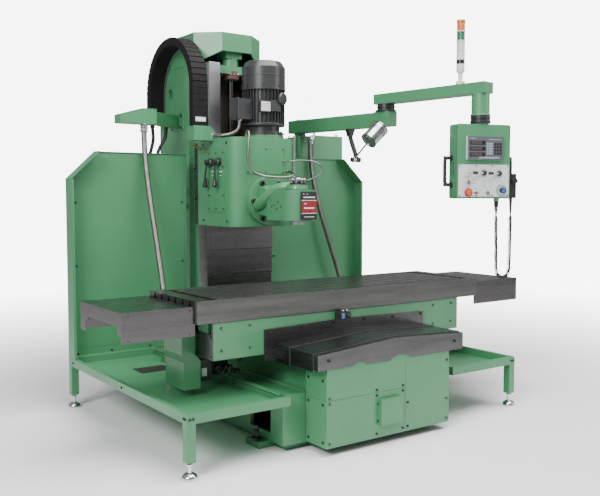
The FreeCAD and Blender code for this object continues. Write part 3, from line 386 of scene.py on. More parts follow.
def metalFinish(name, colour, dark, stretch, rough=0.3, scale=80.0, dent=0.15, radius=0.0015, metallic=1.0):
    # ground or brushed metal: fine lines along one axis, broad streaks, cloudy stains
    material, tree, shader, place = finishOf(name, metallic)
    marks = maskNode(tree, place, brush, Stretch=stretch, Scale=scale)
    stains = maskNode(tree, place, speckle, Patch=5.0, Grain=500.0)
    tone = mixColour(tree, spread(tree, marks.outputs["Streaks"], -0.2, 1.2), dark, colour)
    tone = mixColour(tree, spread(tree, stains.outputs["Wear"], 0.0, 0.35), tone, dark)
    tree.links.new(tone, shader.inputs["Base Color"])
    tree.links.new(spread(tree, marks.outputs["Lines"], rough - 0.1, rough + 0.15),
            shader.inputs["Roughness"])
    bumpFrom(tree, shader, marks.outputs["Lines"], dent, 0.0004, radius)
    return material


def plasticFinish(name, colour, rough=0.4, grain=700.0, dent=0.12, coat=0.0, radius=0.0006):
    # moulded plastic or rubber: fine grain and a little handling shine
    material, tree, shader, place = finishOf(name, 0.0, coat)
    mask = maskNode(tree, place, speckle, Patch=14.0, Grain=grain)
    darker = [c * 0.78 for c in colour[:3]] + [1.0]
    tree.links.new(mixColour(tree, mask.outputs["Patches"], darker, colour), shader.inputs["Base Color"])
    tree.links.new(spread(tree, mask.outputs["Patches"], rough + 0.1, rough - 0.1),
            shader.inputs["Roughness"])
    bumpFrom(tree, shader, mask.outputs["Grain"], dent, 0.0003, radius)
    return material


def lampFinish(name, colour, glow=0.0):
    # clear coloured lens with a fine noise bump
    material, tree, shader, place = finishOf(name, 0.0, 0.3)
    shader.inputs["Transmission Weight"].default_value = 0.45
    mask = maskNode(tree, place, speckle, Grain=90.0)
    pale = [min(1.0, c * 1.25) for c in colour[:3]] + [1.0]
    tree.links.new(mixColour(tree, mask.outputs["Patches"], colour, pale), shader.inputs["Base Color"])
    tree.links.new(spread(tree, mask.outputs["Grain"], 0.12, 0.3), shader.inputs["Roughness"])
    bumpFrom(tree, shader, mask.outputs["Grain"], 0.2, 0.0005)
    if glow:
        shader.inputs["Emission Color"].default_value = colour
        shader.inputs["Emission Strength"].default_value = glow
    return material


machineGreen = paintFinish("machineGreen", (0.062, 0.238, 0.108, 1), (0.05, 0.195, 0.086, 1), 0.36,
        coat=0.18)
castGreen = paintFinish("castGreen", (0.064, 0.242, 0.112, 1), (0.048, 0.19, 0.084, 1), 0.36, grain=90.0,
        dent=0.45, coat=0.3, radius=0.006)
coverGrey = metalFinish("coverGrey", (0.135, 0.135, 0.135, 1), (0.08, 0.08, 0.083, 1), (0.4, 3, 3), 0.27,
        50.0)
tableIron = metalFinish("tableIron", (0.18, 0.185, 0.175, 1), (0.11, 0.11, 0.105, 1), (0.25, 4, 4), 0.27,
        60.0)
wingSteel = metalFinish("wingSteel", (0.15, 0.143, 0.146, 1), (0.12, 0.113, 0.115, 1), (0.3, 2, 6), 0.25,
        40.0, dent=0.05)
shieldSteel = metalFinish("shieldSteel", (0.24, 0.228, 0.232, 1), (0.15, 0.143, 0.148, 1), (0.3, 3, 5),
        0.27, 30.0, dent=0.06)
brightSteel = metalFinish("brightSteel", (0.62, 0.62, 0.62, 1), (0.45, 0.45, 0.46, 1), (3, 3, 0.3), 0.22,
        90.0)
chrome = metalFinish("chrome", (0.75, 0.75, 0.76, 1), (0.6, 0.6, 0.62, 1), (1, 1, 1), 0.14, 20.0, dent=0.03)
brass = metalFinish("brass", (0.36, 0.27, 0.13, 1), (0.24, 0.18, 0.08, 1), (1, 1, 1), 0.3, 60.0)
boltBlack = metalFinish("boltBlack", (0.06, 0.06, 0.065, 1), (0.03, 0.03, 0.03, 1), (1, 1, 1), 0.4, 90.0,
        metallic=0.7)
motorGrey = paintFinish("motorGrey", (0.032, 0.033, 0.035, 1), (0.022, 0.023, 0.025, 1), 0.32, coat=0.3,
        radius=0.002)
chainBlack = plasticFinish("chainBlack", (0.005, 0.005, 0.0055, 1), 0.7)
chainBlack.node_tree.nodes["Principled BSDF"].inputs["Specular IOR Level"].default_value = 0.25
blackPlastic = plasticFinish("blackPlastic", (0.02, 0.02, 0.02, 1), 0.35)
rubberBlack = plasticFinish("rubberBlack", (0.014, 0.014, 0.014, 1), 0.5)
rustRed = paintFinish("rustRed", (0.10, 0.04, 0.028, 1), (0.06, 0.026, 0.02, 1), 0.55, patch=20.0)
redPaint = plasticFinish("redPaint", (0.27, 0.018, 0.025, 1), 0.3, coat=0.3)
whitePaint = plasticFinish("whitePaint", (0.78, 0.78, 0.76, 1), 0.4)
panelGrey = plasticFinish("panelGrey", (0.66, 0.70, 0.68, 1), 0.35)
screenBlack = plasticFinish("screenBlack", (0.02, 0.015, 0.015, 1), 0.15, coat=0.4)
lampClear = lampFinish("lampClear", (0.85, 0.85, 0.82, 1))
lampGreen = lampFinish("lampGreen", (0.02, 0.19, 0.10, 1))
lampOrange = lampFinish("lampOrange", (0.85, 0.2, 0.03, 1))
# dark tint on the work lamp's lens: painted shade of the lamp's inside
lensShadeGlass = lampFinish("lensShadeGlass", (0.16, 0.17, 0.16, 1))
conduitMetal = metalFinish("conduitMetal", (0.30, 0.28, 0.26, 1), (0.17, 0.16, 0.15, 1), (1, 1, 1), 0.3,
        120.0)
waySteel = metalFinish("waySteel", (0.62, 0.62, 0.63, 1), (0.50, 0.50, 0.51, 1), (1, 1, 0.1), 0.3, 8.0,
        dent=0.03)
screwDark = metalFinish("screwDark", (0.14, 0.13, 0.125, 1), (0.07, 0.065, 0.06, 1), (1, 1, 0.4), 0.28,
        120.0)
plugSteel = metalFinish("plugSteel", (0.20, 0.185, 0.16, 1), (0.08, 0.075, 0.07, 1), (1, 1, 1), 0.32, 90.0)
# dark colour for real seams and print, also painted shade in a fold crease and in holes
seamAndShadeDark = plasticFinish("seamAndShadeDark", (0.03, 0.045, 0.035, 1), 0.6)
# dark brown for painted shade inside hollows: the column's way recess and the chip tray's sump
hollowShadeBrown = paintFinish("hollowShadeBrown", (0.05, 0.032, 0.025, 1), (0.03, 0.02, 0.018, 1), 0.5, patch=8.0)
wiperRubber = plasticFinish("wiperRubber", (0.05, 0.045, 0.045, 1), 0.45)
labelBlue = plasticFinish("labelBlue", (0.08, 0.25, 0.5, 1), 0.4)
towerWhite = plasticFinish("towerWhite", (0.7, 0.68, 0.66, 1), 0.3)
readoutGrey = plasticFinish("readoutGrey", (0.09, 0.10, 0.11, 1), 0.4)
screenDim = plasticFinish("screenDim", (0.07, 0.055, 0.06, 1), 0.25)
keyPale = plasticFinish("keyPale", (0.32, 0.40, 0.46, 1), 0.4)
selectorGrey = plasticFinish("selectorGrey", (0.16, 0.19, 0.2, 1), 0.4)
lampAmber = lampFinish("lampAmber", (0.75, 0.5, 0.12, 1))
orangeRed = plasticFinish("orangeRed", (0.72, 0.11, 0.03, 1), 0.3, coat=0.3)
dullRed = plasticFinish("dullRed", (0.42, 0.06, 0.06, 1), 0.35)
knobBlue = plasticFinish("knobBlue", (0.05, 0.14, 0.38, 1), 0.35)
print("finishes ready")

# ---- cords ----
conduitRoutes = {
    "left": [(-0.740, 0.905, 1.961), (-0.740, 0.905, 1.840), (-0.734, 0.878, 1.640), (-0.724, 0.830, 1.400),
             (-0.716, 0.765, 1.160), (-0.709, 0.705, 0.920), (-0.704, 0.650, 0.690), (-0.703, 0.625, 0.500),
             (-0.703, 0.625, 0.352)],
    "right": [(0.771, 0.905, 1.932), (0.771, 0.905, 1.800), (0.800, 0.892, 1.580), (0.858, 0.872, 1.350),
              (0.930, 0.855, 1.120), (1.010, 0.845, 0.890), (1.080, 0.842, 0.680), (1.112, 0.850, 0.500),
              (1.112, 0.850, 0.352)]}
conduitSize = {"radius": 0.021, "rib": 0.0018, "pitch": 0.0085}


def conduit(side):
    # corrugated tube: radius waves along the route's line
    route = conduitRoutes[side]
    line, length = resample(splinePath(route, "routeLine"), conduitSize["pitch"] / 4)
    wave = np.cos(np.arange(len(line)) * math.pi / 2) * conduitSize["rib"] / 2
    radius = conduitSize["radius"] - conduitSize["rib"] / 2 + wave
    piece = addPiece("conduitTube_" + side, [sweep(line, radius, 16)], conduitMetal, "base", 60)
    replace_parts(piece, "conduit_" + side)
    print("conduit", side, round(length, 3))


conduit("left")
conduit("right")

pendantTurn = turnAbout(-18, (0, 0, 1))
pendantPlace = np.array((1.013, -0.752, 0.0))


def onPendant(points):
    # from the pendant's own square axes to its place on the arm
    return np.asarray(points, float) @ pendantTurn.T + pendantPlace


def onPendantShape(shape):
    return onPendant(shape[0]), shape[1]


curlyRoute = onPendant(np.array([(135, 0, 1368), (135, 0, 1290), (136, -2, 1190), (137, -4, 1100),
        (136, -6, 1025), (137, -9, 955), (166, -10, 925), (208, -11, 925), (237, -12, 955),
        (238, -13, 1025), (238, -14, 1100), (237.5, -17, 1190), (237, -20, 1285), (237, -20, 1370)]) / 1000)
curlySize = {"radius": 0.013, "wire": 0.0026, "pitch": 0.0075, "steps": 14}


def curlyCord():
    # wire wound round the route's line, straightened at both ends
    line, length = resample(splinePath(curlyRoute, "curlyLine", 20),
            curlySize["pitch"] / curlySize["steps"])
    tangent = np.gradient(line, axis=0)
    tangent /= np.linalg.norm(tangent, axis=1, keepdims=True)
    side = np.cross(tangent, pendantTurn @ np.array((0.0, 1.0, 0.0)))
    side /= np.linalg.norm(side, axis=1, keepdims=True)
    up = np.cross(tangent, side)
    angle = np.arange(len(line)) * 2 * math.pi / curlySize["steps"]
    reach = curlySize["radius"] - curlySize["wire"]
    near = np.minimum(np.arange(len(line)), np.arange(len(line))[::-1]) / (curlySize["steps"] * 4)
    reach = reach * np.clip(near, 0, 1) ** 0.5
    helix = line + reach[:, None] * (np.cos(angle)[:, None] * side + np.sin(angle)[:, None] * up)
    piece = addPiece("curlyLead", [sweep(helix, curlySize["wire"], 6)], rubberBlack, "pendant", 80)
    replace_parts(piece, "curly_cord")
    print("curly cord", round(length, 3))


curlyCord()

# ---- finishes of the carried-over nodes ----
nodeFinish = (
    (machineGreen, "bed_cover column_cap belt_case chip_tray guards cabinet cabinet_door head_plates "
                   "arm_post arm_lower arm_upper pendant_box axis_drives cable_box"),
    (castGreen, "bed_casting saddle_casting column_casting head_casting swivel_casting spindle_housing"),
    (coverGrey, "cover_rear cover_mid cover_front saddle_wiper"),
    (tableIron, "table"),
    (wingSteel, "table_wings"),
    (shieldSteel, "z_cover_top z_cover_upper z_cover_lower"),
    (waySteel, "column_ways"),
    (screwDark, "z_screw y_screw"),
    (brightSteel, "x_screw spindle drive_shaft motor_rotor conduit_glands"),
    (motorGrey, "motor_body"),
    (chainBlack, "chain_arch chain_front chain_rear"),
    (blackPlastic, "arm_joint saddle_electrics gear_lever_left gear_lever_right start_button feed_knob "
                   "joystick_left joystick_right hand_dial lamp_arm pendant_fittings housing_trim"),
    (redPaint, "stop_button"),
    (panelGrey, "control_panel"),
    (chrome, "lamp_head"),
    (lampClear, "tower_light"))
for finish, names in nodeFinish:
    for name in names.split():
        nodes[name].data.materials.clear()
        nodes[name].data.materials.append(finish)
print("nodes finished")

# ---- fasteners ----

def fasteners(name, places, direction, body, radius=0.007, height=0.005, finish=None, socket=True):
    # one piece holding a row of cap screws that all point one way
    shapes = [bolt(place, direction, radius, height, socket) for place in places]
    return addPiece(name, shapes, finish or boltBlack, body)


def grooves(name, boxes, body, finish=None):
    # narrow dark seams between panels
    return addPiece(name, [chamferBox(low, high, 0.0003) for low, high in boxes], finish or seamAndShadeDark, body,
            30)


# ---- head ----
fasteners("leverPlateScrews", [(-0.2895, y, z) for y in (0.535, 0.64, 0.745)
        for z in (1.40, 1.50, 1.71, 1.812) if not (y == 0.64 and 1.45 < z < 1.8)], (-1, 0, 0), "head",
        0.0065, 0.005)
fasteners("frontPlateScrews", [(x, 0.3865, z) for x in (-0.165, -0.013, 0.139)
        for z in (1.668, 1.752, 1.838) if not (x == -0.013 and z == 1.752)], (0, -1, 0), "head", 0.0065,
        0.005)
fasteners("headSideScrews", [(-0.2848, y, z) for y in (0.845, 0.492) for z in (1.31, 1.88)], (-1, 0, 0),
        "head", 0.009, 0.005)


def leverHubs():
    # black bosses round the two gear shafts, each with a pin in a small eye below
    shapes = []
    for y in (0.585, 0.700):
        profile = [(0.0226, 0.0), (0.029, 0.0), (0.030, 0.004), (0.030, 0.024), (0.026, 0.0285),
                (0.0226, 0.0285)]
        shapes.append(ringLathe(profile, (-0.2902, y, 1.744), (-1, 0, 0), 28))
    addPiece("leverHubs", shapes, blackPlastic, "head")
    pins = []
    for y in (0.585, 0.700):
        pins.append(lathe([(0.008, 0), (0.008, 0.006), (0.005, 0.012), (0.005, 0.02), (0.003, 0.022)],
                (-0.290, y - 0.035, 1.672), (-1, 0, 0), 16))
        pins.append(lathe([(0.0045, 0), (0.0045, 0.016), (0.003, 0.018)], (-0.290, y - 0.04, 1.645),
                (-1, 0, 0), 12))
    addPiece("leverPins", pins, chrome, "head")


leverHubs()


def leverKnobs():
    # tapered grips with rounded ends on both gear levers
    for name, y, lean, body in (("Left", 0.700, 0.035, "lever_left"), ("Right", 0.585, 0.0, "lever_right")):
        top = np.array((-0.333, y + lean * 0.65, 1.631))
        low = np.array((-0.331, y + lean, 1.569))
        step = low - top
        reach = np.linalg.norm(step)
        t = np.linspace(0, 1, 15)
        radius = 0.0095 + 0.0115 * t ** 1.3
        profile = np.stack([radius, t * reach], 1)
        dome = np.linspace(0, math.pi / 2, 7)[1:]
        profile = np.vstack([profile, np.stack([0.021 * np.cos(dome) + 1e-5, reach + 0.012 * np.sin(dome)],
                1)])
        addPiece("leverKnob" + name, [lathe(profile, top, step, 24)], blackPlastic, body, 60)


leverKnobs()


def gibShadeStrip():
    # gib along the head's rear edge, coloured near black as painted shade of the gap behind it, with its
    # oval screws, and brass oil fittings above
    addPiece("gibShadeStrip", [chamferBox((-0.293, 0.934, 1.275), (-0.286, 0.972, 1.90), 0.0015)], boltBlack,
            "head", 30)
    knobs = [lathe([(0.013, 0), (0.015, 0.004), (0.015, 0.014), (0.009, 0.02)], (-0.293, 0.955, z),
            (-1, 0, 0), 20) for z in (1.48, 1.715)]
    small = [bolt((-0.293, 0.953, z), (-1, 0, 0), 0.006, 0.005) for z in (1.31, 1.40, 1.56, 1.64, 1.80,
            1.86)]
    addPiece("gibScrews", knobs + small, boltBlack, "head")
    fittings = []
    for y, z in ((0.955, 1.885), (0.915, 1.868), (0.885, 1.855)):
        fittings.append(lathe([(0.009, 0), (0.009, 0.010), (0.006, 0.012), (0.006, 0.022), (0.0075, 0.022),
                (0.0075, 0.032), (0.003, 0.034)], (-0.285, y, z), (-1, 0, 0), 6))
    addPiece("oilFittings", fittings, brass, "head")


gibShadeStrip()


def hosePiece(name, route, radius, finish, body, fittings=None, braid=0.0):
    # hose as a tube along its route's line, with turned end fittings
    line, length = resample(splinePath(route, name + "Line"), max(radius * 0.6, 0.003))
    width = radius
    if braid:
        width = radius - braid / 2 + braid / 2 * np.cos(np.arange(len(line)) * math.pi / 2)
    piece = addPiece(name, [sweep(line, width, 12)], finish, body, 70)
    parts = []
    if fittings:
        neck, swell = radius * 1.15, radius * 1.35
        profile = [(neck, 0), (swell, 0.002), (swell, 0.014), (neck, 0.016)]
        shapes = [lathe(profile, line[0], line[2] - line[0], 12),
                lathe(profile, line[-1], line[-3] - line[-1], 12)]
        parts = [addPiece(name + "Ends", shapes, fittings, body)]


hosePiece("headHose", [(-0.150, 0.440, 1.921), (-0.150, 0.440, 1.958), (-0.158, 0.400, 1.972),
        (-0.168, 0.365, 1.935), (-0.180, 0.358, 1.870), (-0.186, 0.355, 1.790), (-0.182, 0.350, 1.712),
        (-0.150, 0.340, 1.664), (-0.095, 0.320, 1.642), (-0.030, 0.290, 1.632), (0.040, 0.262, 1.628),
        (0.110, 0.245, 1.634), (0.160, 0.262, 1.652), (0.178, 0.320, 1.672), (0.178, 0.352, 1.678),
        (0.178, 0.390, 1.678)], 0.009, conduitMetal, "head", fittings=brass, braid=0.001)
hosePiece("loopHose", [(0.150, 0.390, 1.752), (0.150, 0.352, 1.752), (0.190, 0.310, 1.758),
        (0.250, 0.262, 1.760), (0.315, 0.215, 1.750), (0.352, 0.188, 1.715), (0.352, 0.185, 1.672),
        (0.318, 0.195, 1.638), (0.262, 0.235, 1.612), (0.225, 0.290, 1.600), (0.205, 0.345, 1.598),
        (0.205, 0.390, 1.598)], 0.005, conduitMetal, "head", fittings=chrome)
addPiece("headTube",
        [lathe([(0.0, 0), (0.011, 0), (0.011, 0.006), (0.0085, 0.007), (0.0085, 0.300), (0.011, 0.301),
        (0.011, 0.312), (0.006, 0.314), (0.0, 0.314)], (0.236, 0.3795, 1.632), (0, 0, 1), 20),
        chamferBox((0.224, 0.380, 1.70), (0.248, 0.391, 1.716), 0.001), chamferBox((0.224, 0.380, 1.87),
        (0.248, 0.391, 1.886), 0.001)], chrome, "head", 35)


# ---- motor ----
motorAxis = {"x": 0.080, "y": 0.560}


def motorParts():
    x, y = motorAxis["x"], motorAxis["y"]
    seam = collar(0.1635, 0.1655, 0.008, 0.001, (x, y, 2.386), sides=56)
    lower = ringLathe([(0.158, 0), (0.1665, 0), (0.1665, 0.012), (0.158, 0.012)], (x, y, 2.283), (0, 0, 1),
            56)
    foot = ringLathe([(0.135, 0), (0.1605, 0), (0.1605, 0.014), (0.152, 0.022), (0.135, 0.022)],
            (x, y, 2.020), (0, 0, 1), 56)
    cap = lathe([(0.0, 0.0), (0.139, 0.0), (0.141, -0.002), (0.13, 0.006), (0.09, 0.012), (0.0, 0.014)],
            (x, y, 2.4915), (0, 0, 1), 56)
    addPiece("motorBands", [seam, lower, foot, cap], motorGrey, "head")
    screws = [bolt(place, (0, 0, 1), 0.009, 0.008, False) for place, out in circle(8, 0.152, (x, y, 1.959),
            0.3)]
    screws += [bolt(place, (0, 0, 1), 0.007, 0.006) for place, out in circle(6, 0.147, (x, y, 1.9735))]
    screws += [bolt(place, out, 0.006, 0.004) for place, out in circle(8, 0.166, (x, y, 2.31), 0.2)]
    addPiece("motorScrews", screws, boltBlack, "head")
    addPiece("motorPlate", [chamferBox((-0.042, 0.3985, 2.118), (0.036, 0.4015, 2.186), 0.0008)],
            whitePaint, "head", 30)
    marks = [chamferBox((-0.036, 0.3975, 2.124 + 0.012 * i), (0.030, 0.3986, 2.126 + 0.012 * i), 0.0002)
            for i in range(5)]
    addPiece("motorPlateLines", marks, seamAndShadeDark, "head", 30)
    addPiece("motorPlateSeat", [chamferBox((-0.046, 0.4015, 2.110), (0.040, 0.430, 2.194), 0.003)],
            motorGrey, "head", 30)
    lid = chamferBox((x - 0.262, y - 0.068, 2.054), (x - 0.2545, y + 0.068, 2.216), 0.003)
    rib = chamferBox((x - 0.2545, y - 0.064, 2.058), (x - 0.2515, y + 0.064, 2.212), 0.001)
    boss = lathe([(0.0, 0), (0.046, 0), (0.046, 0.016), (0.040, 0.024), (0.018, 0.026), (0.0, 0.026)],
            (0.137, 0.404, 2.215), (0.33, -0.94, 0), 28)
    addPiece("terminalLid", [lid, rib, boss], motorGrey, "head")
    fasteners("terminalScrews", [(x - 0.262, y + b, z) for b in (-0.055, 0.055) for z in (2.066, 2.204)],
            (-1, 0, 0), "head", 0.006, 0.004)


motorParts()
hosePiece("motorHose", [(-0.150, 0.530, 2.060), (-0.150, 0.530, 2.022), (-0.158, 0.532, 1.988),
        (-0.190, 0.545, 1.957), (-0.240, 0.575, 1.943), (-0.275, 0.620, 1.941), (-0.290, 0.665, 1.941),
        (-0.290, 0.690, 1.941)], 0.0125, conduitMetal, "head", fittings=chrome, braid=0.0012)


# ---- swivel, housing and name plate ----

swivelSettings = {"height": 1.459, "boltCircle": 0.148, "scaleStep": 5.0, "studCircle": 0.048}


def swivelParts():
    height = swivelSettings["height"]
    heads = []
    for a in np.radians(60.0 * np.arange(6)):
        reach = swivelSettings["boltCircle"]
        place = (reach * math.cos(a), 0.3468, height + reach * math.sin(a))
        heads.append(lathe([(0.0135, 0), (0.0185, 0), (0.0185, 0.0135), (0.0165, 0.0155), (0.009, 0.0155),
                (0.009, 0.0148), (0, 0.0148)], place, (0, -1, 0), 20))
    addPiece("discBolts", heads, boltBlack, "swivel")
    rim = collar(0.1775, 0.1795, 0.011, 0.001, (0, 0.388, height), (0, -1, 0), 72)
    scale = [chamferBox((-0.0006, 0.3445, height + 0.166), (0.0006, 0.346, height + 0.176), 0.0002,
            turnAbout(swivelSettings["scaleStep"] * i, (0, 1, 0)), (0, 0.345, height))
            for i in range(-9, 10)]
    addPiece("discRim", [rim], castGreen, "swivel")
    addPiece("angleScale", scale, whitePaint, "swivel")
    path = [(-0.108, 0.352, 1.430), (-0.110, 0.300, 1.440), (-0.108, 0.235, 1.480), (-0.096, 0.175, 1.525),
            (-0.072, 0.120, 1.552), (-0.030, 0.070, 1.560), (0.020, 0.030, 1.560)]
    line = resample(splinePath(path, "elbowLine"), 0.008)[0]
    swell = 0.044 - 0.010 * np.linspace(0, 1, len(line))
    addPiece("elbowCasting", [sweep(line, swell, 28)], castGreen, "swivel", 60)
    sleeve = lathe([(0.074, 0), (0.076, 0.003), (0.076, 0.013), (0.074, 0.016), (0.074, 0.0372),
            (0.0735, 0.0372)], (0, 0, 1.536), (0, 0, 1), 48)
    addPiece("collarBand", [sleeve], castGreen, "swivel")
    reach = swivelSettings["studCircle"]
    nuts = [bolt(place, (0, 0, 1), 0.0095, 0.012, False) for place, out in circle(8, reach, (0, 0, 1.605))]
    studs = [lathe([(0.0072, 0), (0.0072, 0.024)], place, (0, 0, 1), 12) for place,
            out in circle(8, reach, (0, 0, 1.5835))]
    top = ringLathe([(0.030, 0), (0.0408, 0), (0.0408, 0.016), (0.036, 0.020), (0.030, 0.020)],
            (0, 0, 1.5985), (0, 0, 1), 32)
    addPiece("drawbarStuds", nuts + studs + [top], chrome, "swivel")
    addPiece("oilSight",
            [lathe([(0.004, 0), (0.004, 0.045), (0.0055, 0.046), (0.0055, 0.056), (0.002, 0.058)],
            (0.052, -0.020, 1.584), (0, 0, 1), 12)], redPaint, "swivel", 35)
    plugs = ((0.161, 1.467), (0.123, 1.432), (0.072, 1.454), (0.085, 1.405), (0.035, 1.419), (0.150, 1.420))
    fasteners("housingPlugs", [(-0.1178, y, z) for y, z in plugs], (-1, 0, 0), "swivel", 0.006, 0.003)


swivelParts()


def namePlate():
    # plain bands and bars on the plate in front of the housing
    front = -0.1320
    red = chamferBox((-0.0615, front - 0.0012, 1.379), (0.0655, front - 0.0002, 1.462), 0.0003)
    addPiece("plateRed", [red], redPaint, "swivel", 30)
    lines = [chamferBox((-0.0615, front - 0.0016, z), (0.0655, front - 0.0002, z + 0.004), 0.0003)
            for z in (1.374, 1.463)]
    lines += [chamferBox((-0.050 + 0.03 * i, front - 0.0015, 1.506), (-0.036 + 0.03 * i, front - 0.0002,
            1.510), 0.0003) for i in range(2)]
    lines += [chamferBox((-0.045, front - 0.0015, 1.482), (0.052, front - 0.0002, 1.490), 0.0003),
            chamferBox((-0.040, front - 0.0020, 1.408), (0.046, front - 0.0010, 1.417), 0.0003),
            chamferBox((-0.040, front - 0.0020, 1.440), (-0.018, front - 0.0010, 1.445), 0.0003),
            chamferBox((-0.040, front - 0.0015, 1.350), (0.046, front - 0.0002, 1.354), 0.0003)]
    addPiece("plateBars", lines, whitePaint, "swivel", 30)


namePlate()

# ---- column ----

def columnParts():
    y = 0.916
    band = ringLathe([(0.0625, 0), (0.068, 0.002), (0.068, 0.060), (0.0625, 0.064)], (0, y, 2.402),
            (0, 0, 1), 40)
    addPiece("bearingRing", [band], rustRed, "base")
    studs = [bolt(place, out, 0.008, 0.007, False) for place, out in circle(12, 0.0675, (0, y, 2.440))]
    addPiece("bearingBolts", studs, chrome, "base")
    # dark brown sheets lining the recess between the ways: painted shade of the recess
    low, high = 0.72, 2.436
    shadeLiner = [chamferBox((-0.1645, 1.0405, low), (0.1645, 1.0455, high), 0.0005)]
    shadeLiner += [chamferBox((x - 0.0019, 0.829, low), (x + 0.0019, 1.040, high), 0.0005)
            for x in (-0.1629, 0.1629)]
    addPiece("recessShadeLiner", shadeLiner, hollowShadeBrown, "base", 30)
    fasteners("padBolts", [(-0.3215, py, pz) for py in (1.136, 1.296) for pz in (2.032, 2.128)], (-1, 0, 0),
            "base", 0.0125, 0.006)
    grooves("capSeams", [((x - 0.0005, 1.10, 2.504), (x + 0.0005, 1.55, 2.507)) for x in (-0.3001, 0.3001)],
            "base")
    rim = ringLathe([(0.0362, 0), (0.041, 0), (0.041, 0.002), (0.0362, 0.003)], (-0.3001, 1.361, 2.318),
            (-1, 0, 0), 32)
    addPiece("coreHoleRim", [rim], castGreen, "base")


columnParts()

# ---- hems on the column's sheet covers ----
for name, level, low, body in (("Top", 0, 1.081, "head"), ("Upper", 1, 0.894, "upper_cover"),
        ("Lower", 2, 0.700, "lower_cover")):
    out, front = 0.297 - 0.003 * level, 0.773 + 0.003 * level
    hem = chamferBox((-out, front - 0.0016, low + 0.004), (out, front + 0.0004, low + 0.016), 0.0006)
    wiper = chamferBox((-out - 0.0006, front - 0.0022, low - 0.001), (out + 0.0006, front + 0.0006,
            low + 0.0042), 0.0006)
    addPiece("shieldHem" + name, [hem], shieldSteel, body, 30)
    addPiece("shieldWiper" + name, [wiper], wiperRubber, body, 30)
    # dark strip along each cover's fold: painted shade of the crease
    foldShade = chamferBox((-out + 0.0290, front - 0.0005, low + 0.006), (-out + 0.0302, front + 0.0004,
            low + 0.186), 0.0002)
    addPiece("shieldFoldShade" + name, [foldShade], seamAndShadeDark, body, 30)

# ---- cable chain ----
chainSize = {"outer": -0.4515, "inner": -0.3255, "frontY": 0.7155, "rearY": 1.4585, "centreZ": 2.304,
        "half": 0.030, "low": 2.013, "rearLow": 2.1115, "pitch": 0.0455}


def chainLinks():
    # links along an arch: front leg up, half circle over, rear leg down
    s = chainSize
    radius = (s["rearY"] - s["frontY"]) / 2
    centre = np.array(((s["outer"] + s["inner"]) / 2, (s["rearY"] + s["frontY"]) / 2, s["centreZ"]))
    up, over, down = s["centreZ"] - s["low"], math.pi * radius, s["centreZ"] - s["rearLow"]
    count = int(round((up + over + down) / s["pitch"]))
    pitch = (up + over + down) / count
    shapes = []
    for i in range(count):
        travel = (i + 0.5) * pitch
        if travel < up:
            place, turn = np.array((centre[0], s["frontY"], s["low"] + travel)), 0.0
        elif travel < up + over:
            a = (travel - up) / radius
            place = centre + np.array((0, -math.cos(a) * radius, math.sin(a) * radius))
            turn = -a
        else:
            place, turn = np.array((centre[0], s["rearY"], s["centreZ"] - (travel - up - over))), math.pi
        spin = turnAbout(math.degrees(turn), (1, 0, 0))
        half, wide = s["half"], (s["inner"] - s["outer"]) / 2
        local = []
        for side in (-1, 1):
            x = side * (wide - 0.004)
            local.append(chamferBox((x - 0.004, -half * 0.97, -pitch * 0.495),
                    (x + 0.004, half * 0.97, pitch * 0.495), 0.002))
            x = side * (wide - 0.0095)
            local.append(chamferBox((x - 0.003, -half * 0.7, -pitch * 0.62),
                    (x + 0.003, half * 0.7, -pitch * 0.36), 0.001))
            local.append(lathe([(0, 0), (0.0085, 0), (0.0085, 0.0015), (0.006, 0.0025), (0, 0.0025)],
                    (side * (wide - 0.0012), 0, -pitch * 0.45), (side, 0, 0), 10))
        for face in (-1, 1):
            y = face * (half - 0.003)
            local.append(chamferBox((-wide + 0.003, y - 0.003, -pitch * 0.485),
                    (wide - 0.003, y + 0.003, pitch * 0.485), 0.0015))
        for points, faces in local:
            shapes.append((points @ spin.T + place, faces))
    piece = addPiece("chainLinks", shapes, chainBlack, None, 35)
    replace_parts(piece, "chain_front", "chain_arch", "chain_rear")
    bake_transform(piece)
    cables = []
    for dx, dr in ((-0.035, -0.008), (-0.010, 0.006), (0.016, -0.004), (0.040, 0.008)):
        a = np.linspace(0, math.pi, 40)
        reach = radius + dr
        arc = np.stack([np.full(40, centre[0] + dx), centre[1] - np.cos(a) * reach, centre[2]
                + np.sin(a) * reach], 1)
        legs = np.linspace(s["low"] + 0.004, s["centreZ"] - 0.02, 8)
        first = np.stack([np.full(8, centre[0] + dx), np.full(8, centre[1] - reach), legs], 1)
        tail = np.linspace(s["centreZ"] - 0.02, s["rearLow"] + 0.004, 8)
        last = np.stack([np.full(8, centre[0] + dx), np.full(8, centre[1] + reach), tail], 1)
        cables.append(sweep(np.vstack([first, arc, last]), 0.009, 8))
    inside = addPiece("chainCables", cables, rubberBlack, None, 60)
    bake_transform(inside)
    addPiece("chainLabel", [chamferBox((-0.432, 0.6828, 2.043), (-0.348, 0.6842, 2.075), 0.0004)],
            whitePaint, "head", 30)


chainLinks()

# ---- cable box, black hoses ----


def cableBoxParts():
    lid = plate([(-0.9335, 2.0845), (-0.9335, 2.0815), (-0.7575, 2.1315), (-0.6480, 2.1315),
            (-0.6480, 2.1345), (-0.7580, 2.1345)], 0.8785, 0.9915, 1)
    addPiece("cableBoxLid", [lid], machineGreen, "base", 30)
    nuts = []
    for x, high, low in ((-0.740, 2.004, 1.962), (0.771, 1.972, 1.933)):
        nuts.append(lathe([(0.0275, 0), (0.031, 0.001), (0.031, 0.014), (0.0275, 0.016)], (x, 0.905, high),
                (0, 0, 1), 6))
        nuts.append(lathe([(0.0235, 0), (0.0275, 0.002), (0.0275, 0.018), (0.0235, 0.020)], (x, 0.905, low),
                (0, 0, 1), 24))
    addPiece("glandNuts", nuts, chrome, "base")
    socketNuts = [lathe([(0.0275, 0), (0.0315, 0.001), (0.0315, 0.012), (0.0275, 0.014)], (x, y, 0.336),
            (0, 0, 1), 6) for x, y in ((-0.703, 0.625), (1.112, 0.850))]
    addPiece("socketNuts", socketNuts, chrome, "base")


